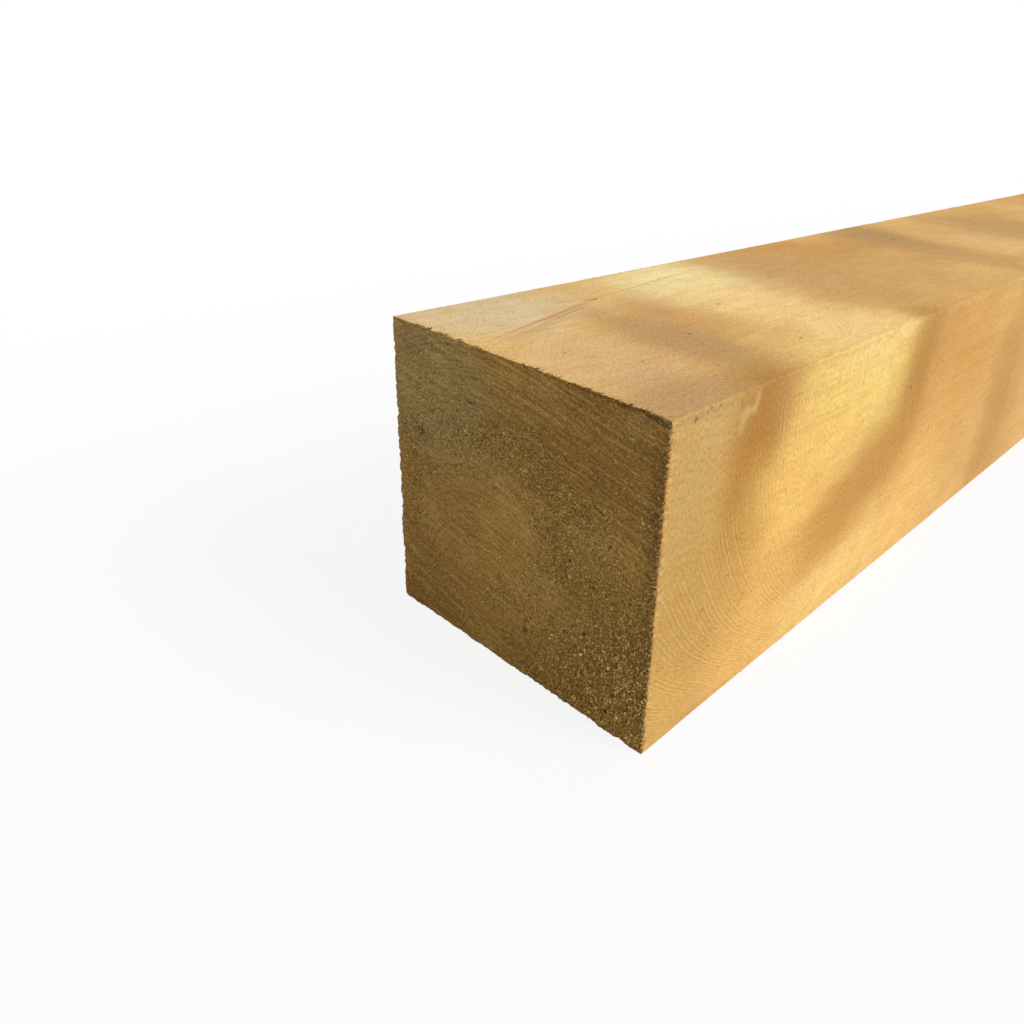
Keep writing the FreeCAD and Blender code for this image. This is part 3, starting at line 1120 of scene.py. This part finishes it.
def sawn_face_material(sizes, colours):
    """Sawn long face: golden wood with faint ring figure, nap, saw arcs, pin knots, and painted
    dappled light and shade.
    """
    material, graph, place = new_material("sawn_face")
    pale, tan, late = colours.face_pale, colours.face_tan, colours.late_wood
    rings = graph.group("growth_rings", Place=place, Ring_Width=sizes.ring_width, Wobble=0.014)
    fibres = graph.group("long_fibres", Place=place)
    normal = graph.add("ShaderNodeTexCoord").outputs["Normal"]
    saw = graph.group(
        "saw_marks", Place=place, Normal=normal, Pitch=sizes.saw_pitch, Radius=sizes.saw_reach
    )
    side = graph.less(1.0, saw["Flat"])

    broad = graph.grain(place, (4.5, 8.0, 8.0), 2.0, 0.5)
    mottle = graph.grain(place, (40.0, 85.0, 85.0), 3.0, 0.6)
    colour = graph.lay(colours.face, pale, broad, 0.42, 0.68, 0.7)
    colour = graph.lay(colour, tan, broad, 0.48, 0.30, 0.6)
    # The tint attribute is painted dappled sunlight and shade, partly the wood's own tone.
    tint = graph.add("ShaderNodeAttribute", attribute_name="tint").outputs
    colour = graph.mix(tint["Alpha"], colour, tint["Color"])
    colour = graph.lay(colour, tan, mottle, 0.34, 0.70, 0.20)

    strong = graph.band(rings["Ring Tone"], 0.80, 0.95, 0.0, 0.05)
    shown = graph.grain(place, (6.0, 16.0, 16.0), 2.0)
    faint = graph.math("ADD", graph.band(shown, 0.38, 0.66, 0.01, 0.07), strong)
    colour = graph.mix(graph.times(rings["Late Wood"], faint), colour, late)
    colour = graph.mix(graph.times(rings["Ring Tone"], 0.07), colour, tan)
    colour = graph.lay(colour, tan, fibres["Streak"], 0.38, 0.70, 0.10)
    colour = graph.mix(graph.times(fibres["Pores"], 0.20), colour, late)

    # The saw marks show on the side faces and hardly on the top and bottom. Their troughs are
    # painted darker and their crests paler: painted shade and light on their relief.
    amount = graph.times(side, 0.13, 0.04)
    colour = graph.lay(colour, late, saw["Mark"], 0.05, -0.9, 0.9, amount)
    colour = graph.lay(colour, pale, saw["Mark"], 0.0, 0.9, 1.4, amount)
    lighter = graph.band(saw["Nap"], 0.50, 0.66)
    colour = graph.mix(lighter, colour, (0.17, 0.16, 0.13), "DODGE")
    darker = graph.band(saw["Nap"], 0.49, 0.33)
    colour = graph.mix(darker, colour, (0.76, 0.68, 0.56), "MULTIPLY")
    # Short torn fibres beside the chainsawn end, where its plane leans away.
    parts = graph.parts(place)
    drop = graph.less(float(HIGH[2]), parts[2])
    end_x = graph.times(drop, float(LEAN / DEPTH), float(LOW[0]))
    beside = graph.band(graph.less(parts[0], end_x), 9 * MM, 1 * MM)
    fringe = graph.grain(place, (170.0, 1100.0, 1100.0), 2.0, 0.6)
    colour = graph.lay(colour, late, fringe, 0.50, 0.38, 0.55, beside)
    colour = graph.lay(colour, pale, fringe, 0.52, 0.64, 0.70, beside)
    colour = face_lines(graph, place, colour)
    colour = face_spots(graph, place, colour)

    height = graph.times(saw["Nap"], 0.75, graph.times(fibres["Fine"], 0.35))
    height = graph.times(graph.times(saw["Mark"], amount), 1.1, height)
    height = graph.times(fibres["Pores"], -0.4, height)
    height = graph.times(graph.times(fringe, beside), 0.8, height)
    roughness = graph.band(mottle, 0.3, 0.7, 0.70, 0.84)
    finish_wood(graph, colour, roughness, height, 0.30 * MM, 0.20)
    return material


# Each patch of tone on the chainsawn end: place across from the +Y edge and down from the top
# (0 to 1), radii as shares of the end, display colour and strength.
END_PATCHES = [
    (0.16, 0.18, (0.34, 0.32), (144, 126, 88), 0.60),
    (0.80, 0.16, (0.40, 0.24), (124, 86, 38), 0.62),
    (0.42, 0.52, (0.24, 0.18), (160, 122, 60), 0.35),
    (0.12, 0.84, (0.32, 0.28), (130, 90, 40), 0.60),
    (0.10, 0.97, (0.26, 0.06), (126, 82, 28), 0.45),
    (0.55, 0.95, (0.30, 0.10), (130, 92, 36), 0.45),
    (0.86, 0.80, (0.24, 0.32), (112, 76, 28), 0.60),
    (1.00, 0.45, (0.050, 0.70), (94, 62, 24), 0.60),
    # These three darken the end along its top edge: partly a stain, partly painted shade of the
    # torn fibres there.
    (0.970, 0.010, (0.060, 0.020), (58, 38, 14), 0.75),
    (0.890, 0.000, (0.130, 0.014), (72, 48, 20), 0.60),
    (0.74, 0.0, (0.42, 0.012), (92, 66, 32), 0.55),
]

# Each small dark spot of the chainsawn end, as above. The first four lie in its pits and its
# crack: painted shade in those hollows.
END_SPOTS = [
    (0.557, 0.835, (0.017, 0.015), (64, 42, 18), 0.65),
    (0.332, 0.175, (0.018, 0.004), (52, 38, 20), 0.80),
    (0.114, 0.342, (0.018, 0.014), (62, 46, 26), 0.70),
    (0.893, 0.685, (0.012, 0.011), (64, 42, 18), 0.55),
    (0.43, 0.215, (0.014, 0.010), (72, 54, 28), 0.45),
    (0.74, 0.90, (0.014, 0.010), (70, 46, 20), 0.40),
]


def end_patches(graph, place, colour, patches):
    """The colour with patches of the chainsawn end laid over it: a patch is deep along X."""
    for across, down, (wide, high), tint, strength in patches:
        middle = end_place(LOW[0], across, down)
        radii = (0.2, wide * float(WIDTH), high * float(DEPTH))
        colour = spot(graph, place, colour, middle, radii, 0.8, tint, strength)
    return colour


def chainsawn_end_material(sizes, colours):
    """Rough end grain: strokes of torn fibre, with painted shade in their hollows and painted
    highlight on their raised tips, ring arcs, slanting sweeps and pale grit.
    """
    material, graph, place = new_material("chainsawn_end")
    dark, light = colours.end_dark, colours.end_light
    rings = graph.group("growth_rings", Place=place, Ring_Width=sizes.ring_width, Wobble=0.006)
    torn = graph.add("ShaderNodeAttribute", attribute_name="torn").outputs["Fac"]
    fine = graph.group("torn_fuzz", Place=place, Size=1.3 * MM)
    coarse = graph.group("torn_fuzz", Place=place, Size=3.4 * MM)
    sweeps = graph.grain(place, (1.0, 26.0, 640.0), 2.0, 0.6, 0.4, SWEEP_TURN)

    broad = graph.grain(place, (10.0, 24.0, 24.0), 3.0, 0.55)
    colour = graph.lay(colours.end, dark, broad, 0.46, 0.70, 0.20)
    colour = graph.lay(colour, light, broad, 0.50, 0.34, 0.16)
    colour = end_patches(graph, place, colour, END_PATCHES)
    clear = graph.times(torn, -0.6, 1.0)
    ring_share = graph.times(graph.times(rings["Late Wood"], 0.30), clear)
    colour = graph.mix(ring_share, colour, dark)
    colour = graph.lay(colour, dark, sweeps, 0.50, 0.66, 0.24, clear)
    colour = graph.lay(colour, light, sweeps, 0.48, 0.36, 0.14, clear)

    roughly = graph.band(torn, 0.0, 1.0, 0.44, 0.96)
    # Dark where the torn fuzz lies low and light where it stands high: painted shade in its
    # hollows and painted highlight on its raised fibres.
    colour = graph.lay(colour, dark, fine["Height"], 0.50, 0.38, 0.84, roughly)
    colour = graph.lay(colour, dark, coarse["Height"], 0.47, 0.36, 0.45, roughly)
    colour = graph.lay(colour, light, fine["Height"], 0.52, 0.62, 0.72, roughly)
    colour = graph.lay(colour, light, fine["Grit"], 0.57, 0.68, 0.85, roughly)
    colour = end_patches(graph, place, colour, END_SPOTS)

    height = graph.times(fine["Height"], roughly)
    height = graph.times(graph.times(coarse["Height"], roughly), 1.3, height)
    height = graph.times(sweeps, graph.times(clear, 0.30), height)
    finish_wood(graph, colour, 0.88, height, 1.5 * MM, 0.10)
    return material


# Each drying check of the square-cut end: direction from the pith in degrees, distance out to its
# middle, half length and half width in metres.
CHECKS = [
    (62.0, 0.058, 0.046, 0.0007),
    (148.0, 0.030, 0.024, 0.0005),
    (104.0, 0.108, 0.024, 0.0004),
    (12.0, 0.026, 0.018, 0.0004),
]


def checks(graph, place):
    """How deep each place is in a drying check, 0 to 1: thin patches that point at the pith."""
    pith = end_place(HIGH[0], PITH_ACROSS, PITH_DOWN)
    from_pith = graph.vector("SUBTRACT", place, pith)
    deepest = 0.0
    for turn, away, length, width in CHECKS:
        local = graph.scaled(from_pith, (1.0, 1.0, 1.0), (-math.radians(turn), 0.0, 0.0))
        middle, radii = (0.0, away, 0.0), (0.05, length, width)
        share = graph.group("soft_patch", Place=local, Middle=middle, Radii=radii, Unevenness=1.2)
        deepest = graph.math("MAXIMUM", share["Share"], deepest)
    return deepest


def square_end_material(sizes, colours):
    """Smoother far end: ring arcs, fine straight saw scratches and a few drying checks."""
    material, graph, place = new_material("square_cut_end")
    dark, light = colours.end_dark, colours.end_light
    rings = graph.group("growth_rings", Place=place, Ring_Width=sizes.ring_width, Wobble=0.006)
    scratches = graph.grain(place, (1.0, 18.0, 900.0), 2.0, 0.6, 0.0, 0.06)
    broad = graph.grain(place, (10.0, 20.0, 20.0), 3.0, 0.55)
    grit = graph.grain(place, (900.0, 900.0, 900.0), 2.0, 0.6)
    colour = graph.lay(colours.square_end, colours.end, broad, 0.30, 0.72, 0.6)
    colour = graph.mix(graph.times(rings["Ring Tone"], 0.22), colour, colours.end)
    shown = graph.band(broad, 0.36, 0.62, 0.14, 0.34)
    colour = graph.mix(graph.times(rings["Late Wood"], shown), colour, dark)
    colour = graph.lay(colour, dark, scratches, 0.52, 0.68, 0.22)
    colour = graph.lay(colour, light, grit, 0.55, 0.75, 0.30)
    split = checks(graph, place)
    # The checks are painted dark: painted shade in the cracks.
    colour = graph.mix(graph.times(split, 0.85), colour, dark)
    height = graph.times(scratches, 0.6, grit)
    height = graph.times(split, -2.0, height)
    finish_wood(graph, colour, 0.82, height, 0.18 * MM, 0.15)
    return material


def torn_fibre_material(name, dark, middle, light):
    """Loose torn fibre: each crumb, tuft or whisker has its own tone between dark and light."""
    material, graph, place = new_material(name)
    tone = graph.add("ShaderNodeAttribute", attribute_name="tone").outputs["Fac"]
    grain = graph.grain(place, (1400.0, 1400.0, 1400.0), 2.0, 0.6)
    tone = graph.times(graph.less(grain, 0.5), 0.35, tone)
    colour = graph.mix(graph.band(tone, 0.0, 0.5), dark, middle)
    colour = graph.mix(graph.band(tone, 0.5, 1.0), colour, light)
    finish_wood(graph, colour, 0.88, grain, 0.08 * MM, 0.12)
    return material


# Operators


def post_settings(context):
    """The scene's sizes and colours for the post."""
    return context.scene.timber_sizes, context.scene.timber_colours


class TIMBER_OT_sawn_post(bpy.types.Operator):
    """Build the post's wood: sawn faces, chainsawn end and square-cut end"""

    bl_idname = "timber.sawn_post"
    bl_label = "Sawn post"

    def execute(self, context):
        sizes, colours = post_settings(context)
        points, triangles, (faces_end, near_end) = post_surface(sizes)
        volume = enclosed(points, triangles)
        if not 0.97 < volume / (LENGTH * WIDTH * DEPTH) < 1:
            raise RuntimeError(f"the post's surface encloses {volume} cubic metres")
        if not is_closed(triangles):
            raise RuntimeError("the post's surface has a gap")
        of_face = np.searchsorted([faces_end, near_end], np.arange(len(triangles)), "right")
        on_end = points[:, 0] < LOW[0] + LEAN + 12 * MM
        torn = np.where(on_end, torn_share(points[:, 1], points[:, 2]), 0)
        materials = [
            sawn_face_material(sizes, colours),
            chainsawn_end_material(sizes, colours),
            square_end_material(sizes, colours),
        ]
        # The tint values are painted dappled sunlight and shade, partly the wood's own tone.
        values = {"torn": torn, "tint": dapple_and_tone_tint(points, colours.face)}
        post = new_piece("sawn_post", points, triangles, materials, of_face, values)
        sharp = sharp_edges(post.data)
        post.data.attributes.new("sharp_edge", "BOOLEAN", "EDGE").data.foreach_set("value", sharp)
        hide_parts(NODE)
        return {"FINISHED"}


def enclosed(points, triangles):
    """Volume inside a closed surface: a sixth of the sum of its corners' triple products."""
    first, second, third = points[triangles].transpose(1, 0, 2)
    return (first * np.cross(second, third)).sum() / 6


def is_closed(triangles):
    """Whether each side of each triangle is matched by one that runs the other way."""
    starts, ends = triangles.ravel().astype(np.int64), np.roll(triangles, -1, 1).ravel()
    size = triangles.max() + 1
    return np.array_equal(np.sort(starts * size + ends), np.sort(ends * size + starts))


def sharp_edges(mesh):
    """For each edge, whether its two faces have different materials, as round each end."""
    material = np.empty(len(mesh.polygons), int)
    mesh.polygons.foreach_get("material_index", material)
    edge_of = np.empty(len(mesh.loops), int)
    mesh.loops.foreach_get("edge_index", edge_of)
    lowest = np.full(len(mesh.edges), len(mesh.materials))
    highest = np.zeros(len(mesh.edges), int)
    per_loop = np.repeat(material, 3)
    np.minimum.at(lowest, edge_of, per_loop)
    np.maximum.at(highest, edge_of, per_loop)
    return lowest != highest


class TIMBER_OT_torn_crumbs(bpy.types.Operator):
    """Scatter crumbs of torn wood over the chainsawn end"""

    bl_idname = "timber.torn_crumbs"
    bl_label = "Torn crumbs"

    def execute(self, context):
        sizes, colours = post_settings(context)
        rng = np.random.default_rng(201)
        y, z, coarse = torn_places(rng, sizes.crumbs, 0.06, 1.4)
        middles = chainsawn_surface(y, z, sizes)
        lying = rng.normal(0, 1, middles.shape) * [0.5, 1.0, 1.0]
        directions = unit(lying + coarse[:, None] * [0.0, -0.5, -1.5])
        wide = rng.lognormal(np.log(0.23), 0.40, len(y)) * (1 + 0.95 * coarse) * MM
        long = wide * rng.uniform(1.0, 2.2, len(y))
        shape = crumbs(rng, middles, directions, long, wide)
        tones = rng.normal(0.46 + 0.10 * coarse, 0.28)
        material = torn_fibre_material("torn_crumb", colours.end_dark, colours.end, colours.tuft)
        loose_piece("torn_crumbs", shape, tones, material)
        return {"FINISHED"}


class TIMBER_OT_torn_tufts(bpy.types.Operator):
    """Scatter bent tufts of torn fibre over the chainsawn end"""

    bl_idname = "timber.torn_tufts"
    bl_label = "Torn tufts"

    def execute(self, context):
        sizes, colours = post_settings(context)
        rng = np.random.default_rng(211)
        y, z, coarse = torn_places(rng, sizes.tufts, 0.14, 1.0)
        roots = chainsawn_surface(y, z, sizes) + [0.15 * MM, 0, 0]
        drag = [-0.40, -0.25, -0.50]
        directions = unit(drag + rng.normal(0, 0.55, roots.shape))
        lengths = rng.lognormal(np.log(1.15), 0.36, len(y)) * (1 + 0.3 * coarse) * MM
        widths = rng.uniform(0.12, 0.30, len(y)) * MM * (1 + 0.5 * coarse)
        shape = slivers(rng, roots, directions, lengths, widths)
        tones = rng.normal(0.54 + 0.08 * coarse, 0.30)
        material = torn_fibre_material("torn_tuft", colours.end_dark, colours.end, colours.tuft)
        loose_piece("torn_tufts", shape, tones, material)
        return {"FINISHED"}


class TIMBER_OT_edge_whiskers(bpy.types.Operator):
    """Stand pale loose fibres along the edges of both ends and along the arrises"""

    bl_idname = "timber.edge_whiskers"
    bl_label = "Edge whiskers"

    def execute(self, context):
        sizes, colours = post_settings(context)
        rng = np.random.default_rng(223)
        parts = [
            near_edge_whiskers(rng, sizes, sizes.whiskers // 2, [0.94, 0.06, 0.00, 0.00], 1.7),
            far_edge_whiskers(rng, sizes.whiskers // 6),
            arris_whiskers(rng, sizes.whiskers // 2),
        ]
        shape = slivers(rng, *(np.concatenate(item) for item in zip(*parts)))
        tones = rng.normal(0.62, 0.22, sum(len(part[0]) for part in parts))
        tints = colours.late_wood, colours.face, colours.face_pale
        loose_piece("edge_whiskers", shape, tones, torn_fibre_material("whisker", *tints))
        return {"FINISHED"}


class TIMBER_OT_edge_clumps(bpy.types.Operator):
    """Stand clumps of torn end grain along the chainsawn end's edges, dark partly as painted shade
    """

    bl_idname = "timber.edge_clumps"
    bl_label = "Edge clumps"

    def execute(self, context):
        sizes, colours = post_settings(context)
        rng = np.random.default_rng(227)
        fibres = near_edge_whiskers(rng, sizes, sizes.whiskers, [0.03, 0.95, 0.02, 0.00], 0.55)
        y, z = fibres[0][:, 1:].T
        across, _ = end_shares(y, z)
        kept = grain(229, 1, y, z, 7) > 0.35 - 0.8 * across
        roots, directions, lengths, widths = (part[kept] for part in fibres)
        shape = slivers(rng, roots, directions, lengths, widths * 1.5)
        # Low tones: the clumps are dark partly as painted shade of the shaded end.
        tones = rng.normal(0.30, 0.22, len(roots))
        material = torn_fibre_material("edge_clump", colours.end_dark, colours.end, colours.tuft)
        loose_piece("edge_clumps", shape, tones, material)
        return {"FINISHED"}


def edge_normals(side):
    """Direction out of the post for each edge number: -Y, top, +Y and bottom are 0 to 3."""
    return np.array([[0, -1.0, 0], [0, 0, 1.0], [0, 1.0, 0], [0, 0, -1.0]])[side]


def edge_places(rng, side):
    """A random place on each of those edges of the section: y and z."""
    share = rng.uniform(0.025, 0.990, len(side))
    y = np.select([side == 0, side == 2], [LOW[1], HIGH[1]], LOW[1] + share * WIDTH)
    z = np.select([side == 1, side == 3], [HIGH[2], LOW[2]], LOW[2] + share * DEPTH)
    return y, z


def near_edge_whiskers(rng, sizes, count, chances, length):
    """Fibres round the chainsawn end's edge, with the chance of each edge and a usual length."""
    side = rng.choice(4, count, p=chances)
    y, z = edge_places(rng, side)
    back = rng.exponential(0.5, count) * MM
    outwards = edge_normals(side)
    roots = chainsawn_surface(y, z, sizes)
    roots[:, 0] += back
    roots -= outwards * (FACE_INSET + edge_wear(y, z, back))[:, None]
    directions = unit([-0.9, 0, 0] + outwards * 0.30 + rng.normal(0, 0.30, (count, 3)))
    lengths = rng.lognormal(np.log(length), 0.45, count) * MM
    widths = rng.uniform(0.13, 0.30, count) * MM
    return roots, directions, lengths, widths


def far_edge_whiskers(rng, count):
    """A few short fibres round the square-cut end's edge."""
    side = rng.choice(4, count)
    y, z = edge_places(rng, side)
    outwards = edge_normals(side)
    x = HIGH[0] - rng.uniform(0.6, 2.0, count) * MM
    roots = np.stack([x, y, z], 1) - outwards * 0.7 * MM
    directions = unit([0.3, 0, 0] + outwards * 0.6 + rng.normal(0, 0.4, (count, 3)))
    lengths = rng.uniform(0.5, 1.4, count) * MM
    widths = rng.uniform(0.06, 0.12, count) * MM
    return roots, directions, lengths, widths


def arris_whiskers(rng, count):
    """Short fibres that the saw lifted along the long arrises, in its own direction."""
    side = rng.choice([-1.0, 1.0], count)
    level = rng.choice([-1.0, 1.0], count, p=[0.3, 0.7])
    x = rng.uniform(LOW[0] + 20 * MM, HIGH[0] - 5 * MM, count)
    y = np.where(side < 0, LOW[1], HIGH[1]) - side * 0.85 * MM
    z = np.where(level < 0, LOW[2], HIGH[2]) - level * 0.85 * MM
    roots = np.stack([x, y, z], 1)
    upwards = np.stack([np.full(count, 0.25), side * 0.15, level * 0.8], 1)
    directions = unit(upwards + rng.normal(0, 0.25, (count, 3)))
    lengths = rng.uniform(0.6, 1.8, count) * MM
    widths = rng.uniform(0.08, 0.18, count) * MM
    return roots, directions, lengths, widths


# Each lamp's size in degrees and the direction it shines from.
KEY_LAMP = 34, (0.30, -0.76, 0.64)
FILL_LAMP = 14, (-0.46, -0.10, 0.66)

# Half width of the floor in metres, and its grey.
FLOOR_REACH = 12.0
FLOOR_GREY = (0.80, 0.80, 0.80, 1.0)
WHITE = (1.0, 1.0, 1.0, 1.0)


class TIMBER_OT_studio(bpy.types.Operator):
    """Set up the pale floor, the soft lamps, the surround and the camera"""

    bl_idname = "timber.studio"
    bl_label = "Studio"

    def execute(self, context):
        scene = context.scene
        settings = scene.timber_stage
        scene.view_settings.view_transform = "Standard"
        pale_floor()
        surround(scene, settings.surround)
        soft_lamp("key_lamp", settings.key, *KEY_LAMP)
        soft_lamp("fill_lamp", settings.fill, *FILL_LAMP)
        post_camera(scene, settings)
        return {"FINISHED"}


def sees_background(graph):
    """1 for light that goes straight to the camera or to a mirror or glass, otherwise 0."""
    path = graph.add("ShaderNodeLightPath").outputs
    seen = graph.math("MAXIMUM", path["Is Camera Ray"], path["Is Glossy Ray"])
    return graph.math("MAXIMUM", seen, path["Is Transmission Ray"])


def background(graph, output, share, real, white):
    """Ends a tree with its real shader, and with plain white by that share."""
    shaders = {0: share, 1: real.outputs[0], 2: white.outputs[0]}
    mixed = graph.add("ShaderNodeMixShader", shaders)
    graph.add(output, {"Surface": mixed.outputs[0]})


def pale_floor():
    """Wide pale floor under the post. It shows almost white and keeps a soft shadow.

    The share of plain white in it grows with the distance from the post.
    """
    far = FLOOR_REACH
    corners = [(-far, -far), (far, -far), (far, far), (-far, far)]
    mesh = bpy.data.meshes.new("floor")
    mesh.from_pydata([(x, y, float(LOW[2])) for x, y in corners], [], [(0, 1, 2, 3)])
    floor = bpy.data.objects.new("floor", mesh)
    bpy.context.scene.collection.objects.link(floor)
    material, graph, place = new_material("pale_floor")
    beside = graph.vector("ABSOLUTE", place)
    beyond = graph.vector("SUBTRACT", beside, (LENGTH / 2, WIDTH / 2, 0))
    distance = graph.vector("LENGTH", graph.vector("MAXIMUM", beyond, (0, 0, 0)))
    fade = graph.band(distance, 0.0, 0.8, 0.85, 1.0)
    matt = graph.add("ShaderNodeBsdfDiffuse", {"Color": FLOOR_GREY})
    white = graph.add("ShaderNodeEmission", {"Color": WHITE, "Strength": 1.0})
    share = graph.times(sees_background(graph), fade)
    background(graph, "ShaderNodeOutputMaterial", share, matt, white)
    mesh.materials.append(material)


def surround(scene, strength):
    """World that lights evenly from all round and shows as white behind the post."""
    world = bpy.data.worlds.new("surround")
    world.use_nodes = True
    world.node_tree.nodes.clear()
    graph = Graph(world.node_tree)
    even = graph.add("ShaderNodeBackground", {"Color": WHITE, "Strength": strength})
    white = graph.add("ShaderNodeBackground", {"Color": WHITE, "Strength": 1.0})
    background(graph, "ShaderNodeOutputWorld", sees_background(graph), even, white)
    scene.world = world


def soft_lamp(name, strength, spread, towards):
    """Distant soft lamp that shines from that direction; spread is its size in degrees."""
    lamp = bpy.data.lights.new(name, "SUN")
    lamp.energy = strength
    lamp.angle = math.radians(spread)
    holder = bpy.data.objects.new(name, lamp)
    holder.matrix_world = Vector(towards).to_track_quat("Z", "Y").to_matrix().to_4x4()
    bpy.context.scene.collection.objects.link(holder)


def post_camera(scene, settings):
    """Camera near the chainsawn end, looking along the post from its -Y side and from above."""
    data = bpy.data.cameras.new("post_camera")
    data.lens = settings.lens
    data.sensor_width = 36.0
    data.shift_y = settings.shift
    data.clip_start = 0.01
    camera = bpy.data.objects.new("post_camera", data)
    corner = Vector((float(LOW[0]) + LEAN, float(LOW[1]), float(LOW[2])))
    turn = Matrix.Rotation(settings.heading - math.pi / 2, 4, "Z")
    turn = turn @ Matrix.Rotation(settings.pitch + math.pi / 2, 4, "X")
    turn = turn @ Matrix.Rotation(settings.roll, 4, "Z")
    camera.matrix_world = Matrix.Translation(corner + Vector(settings.stand_off)) @ turn
    scene.collection.objects.link(camera)
    scene.camera = camera


class TIMBER_PT_post(bpy.types.Panel):
    """Lists the post's pieces and the studio"""

    bl_idname = "TIMBER_PT_post"
    bl_label = "Timber post"
    bl_space_type = "VIEW_3D"
    bl_region_type = "UI"
    bl_category = "Timber post"

    def draw(self, context):
        column = self.layout.column()
        for operator in OPERATORS:
            column.operator(operator.bl_idname)
        for settings in (*post_settings(context), context.scene.timber_stage):
            for name in settings.__annotations__:
                column.prop(settings, name)


OPERATORS = (
    TIMBER_OT_sawn_post,
    TIMBER_OT_torn_crumbs,
    TIMBER_OT_torn_tufts,
    TIMBER_OT_edge_whiskers,
    TIMBER_OT_edge_clumps,
    TIMBER_OT_studio,
)
CLASSES = (PostSizes, PostColours, StageSettings, *OPERATORS, TIMBER_PT_post)


def register():
    """Registers every class and puts the settings on the scene."""
    for item in CLASSES:
        bpy.utils.register_class(item)
    bpy.types.Scene.timber_sizes = PointerProperty(type=PostSizes)
    bpy.types.Scene.timber_colours = PointerProperty(type=PostColours)
    bpy.types.Scene.timber_stage = PointerProperty(type=StageSettings)


def unregister():
    """Takes the settings off the scene and unregisters every class."""
    del bpy.types.Scene.timber_stage
    del bpy.types.Scene.timber_colours
    del bpy.types.Scene.timber_sizes
    for item in reversed(CLASSES):
        bpy.utils.unregister_class(item)


def main():
    """Builds every piece and the studio."""
    register()
    bpy.ops.timber.sawn_post()
    bpy.ops.timber.torn_crumbs()
    bpy.ops.timber.torn_tufts()
    bpy.ops.timber.edge_whiskers()
    bpy.ops.timber.edge_clumps()
    bpy.ops.timber.studio()


if __name__ == "__main__":
    main()
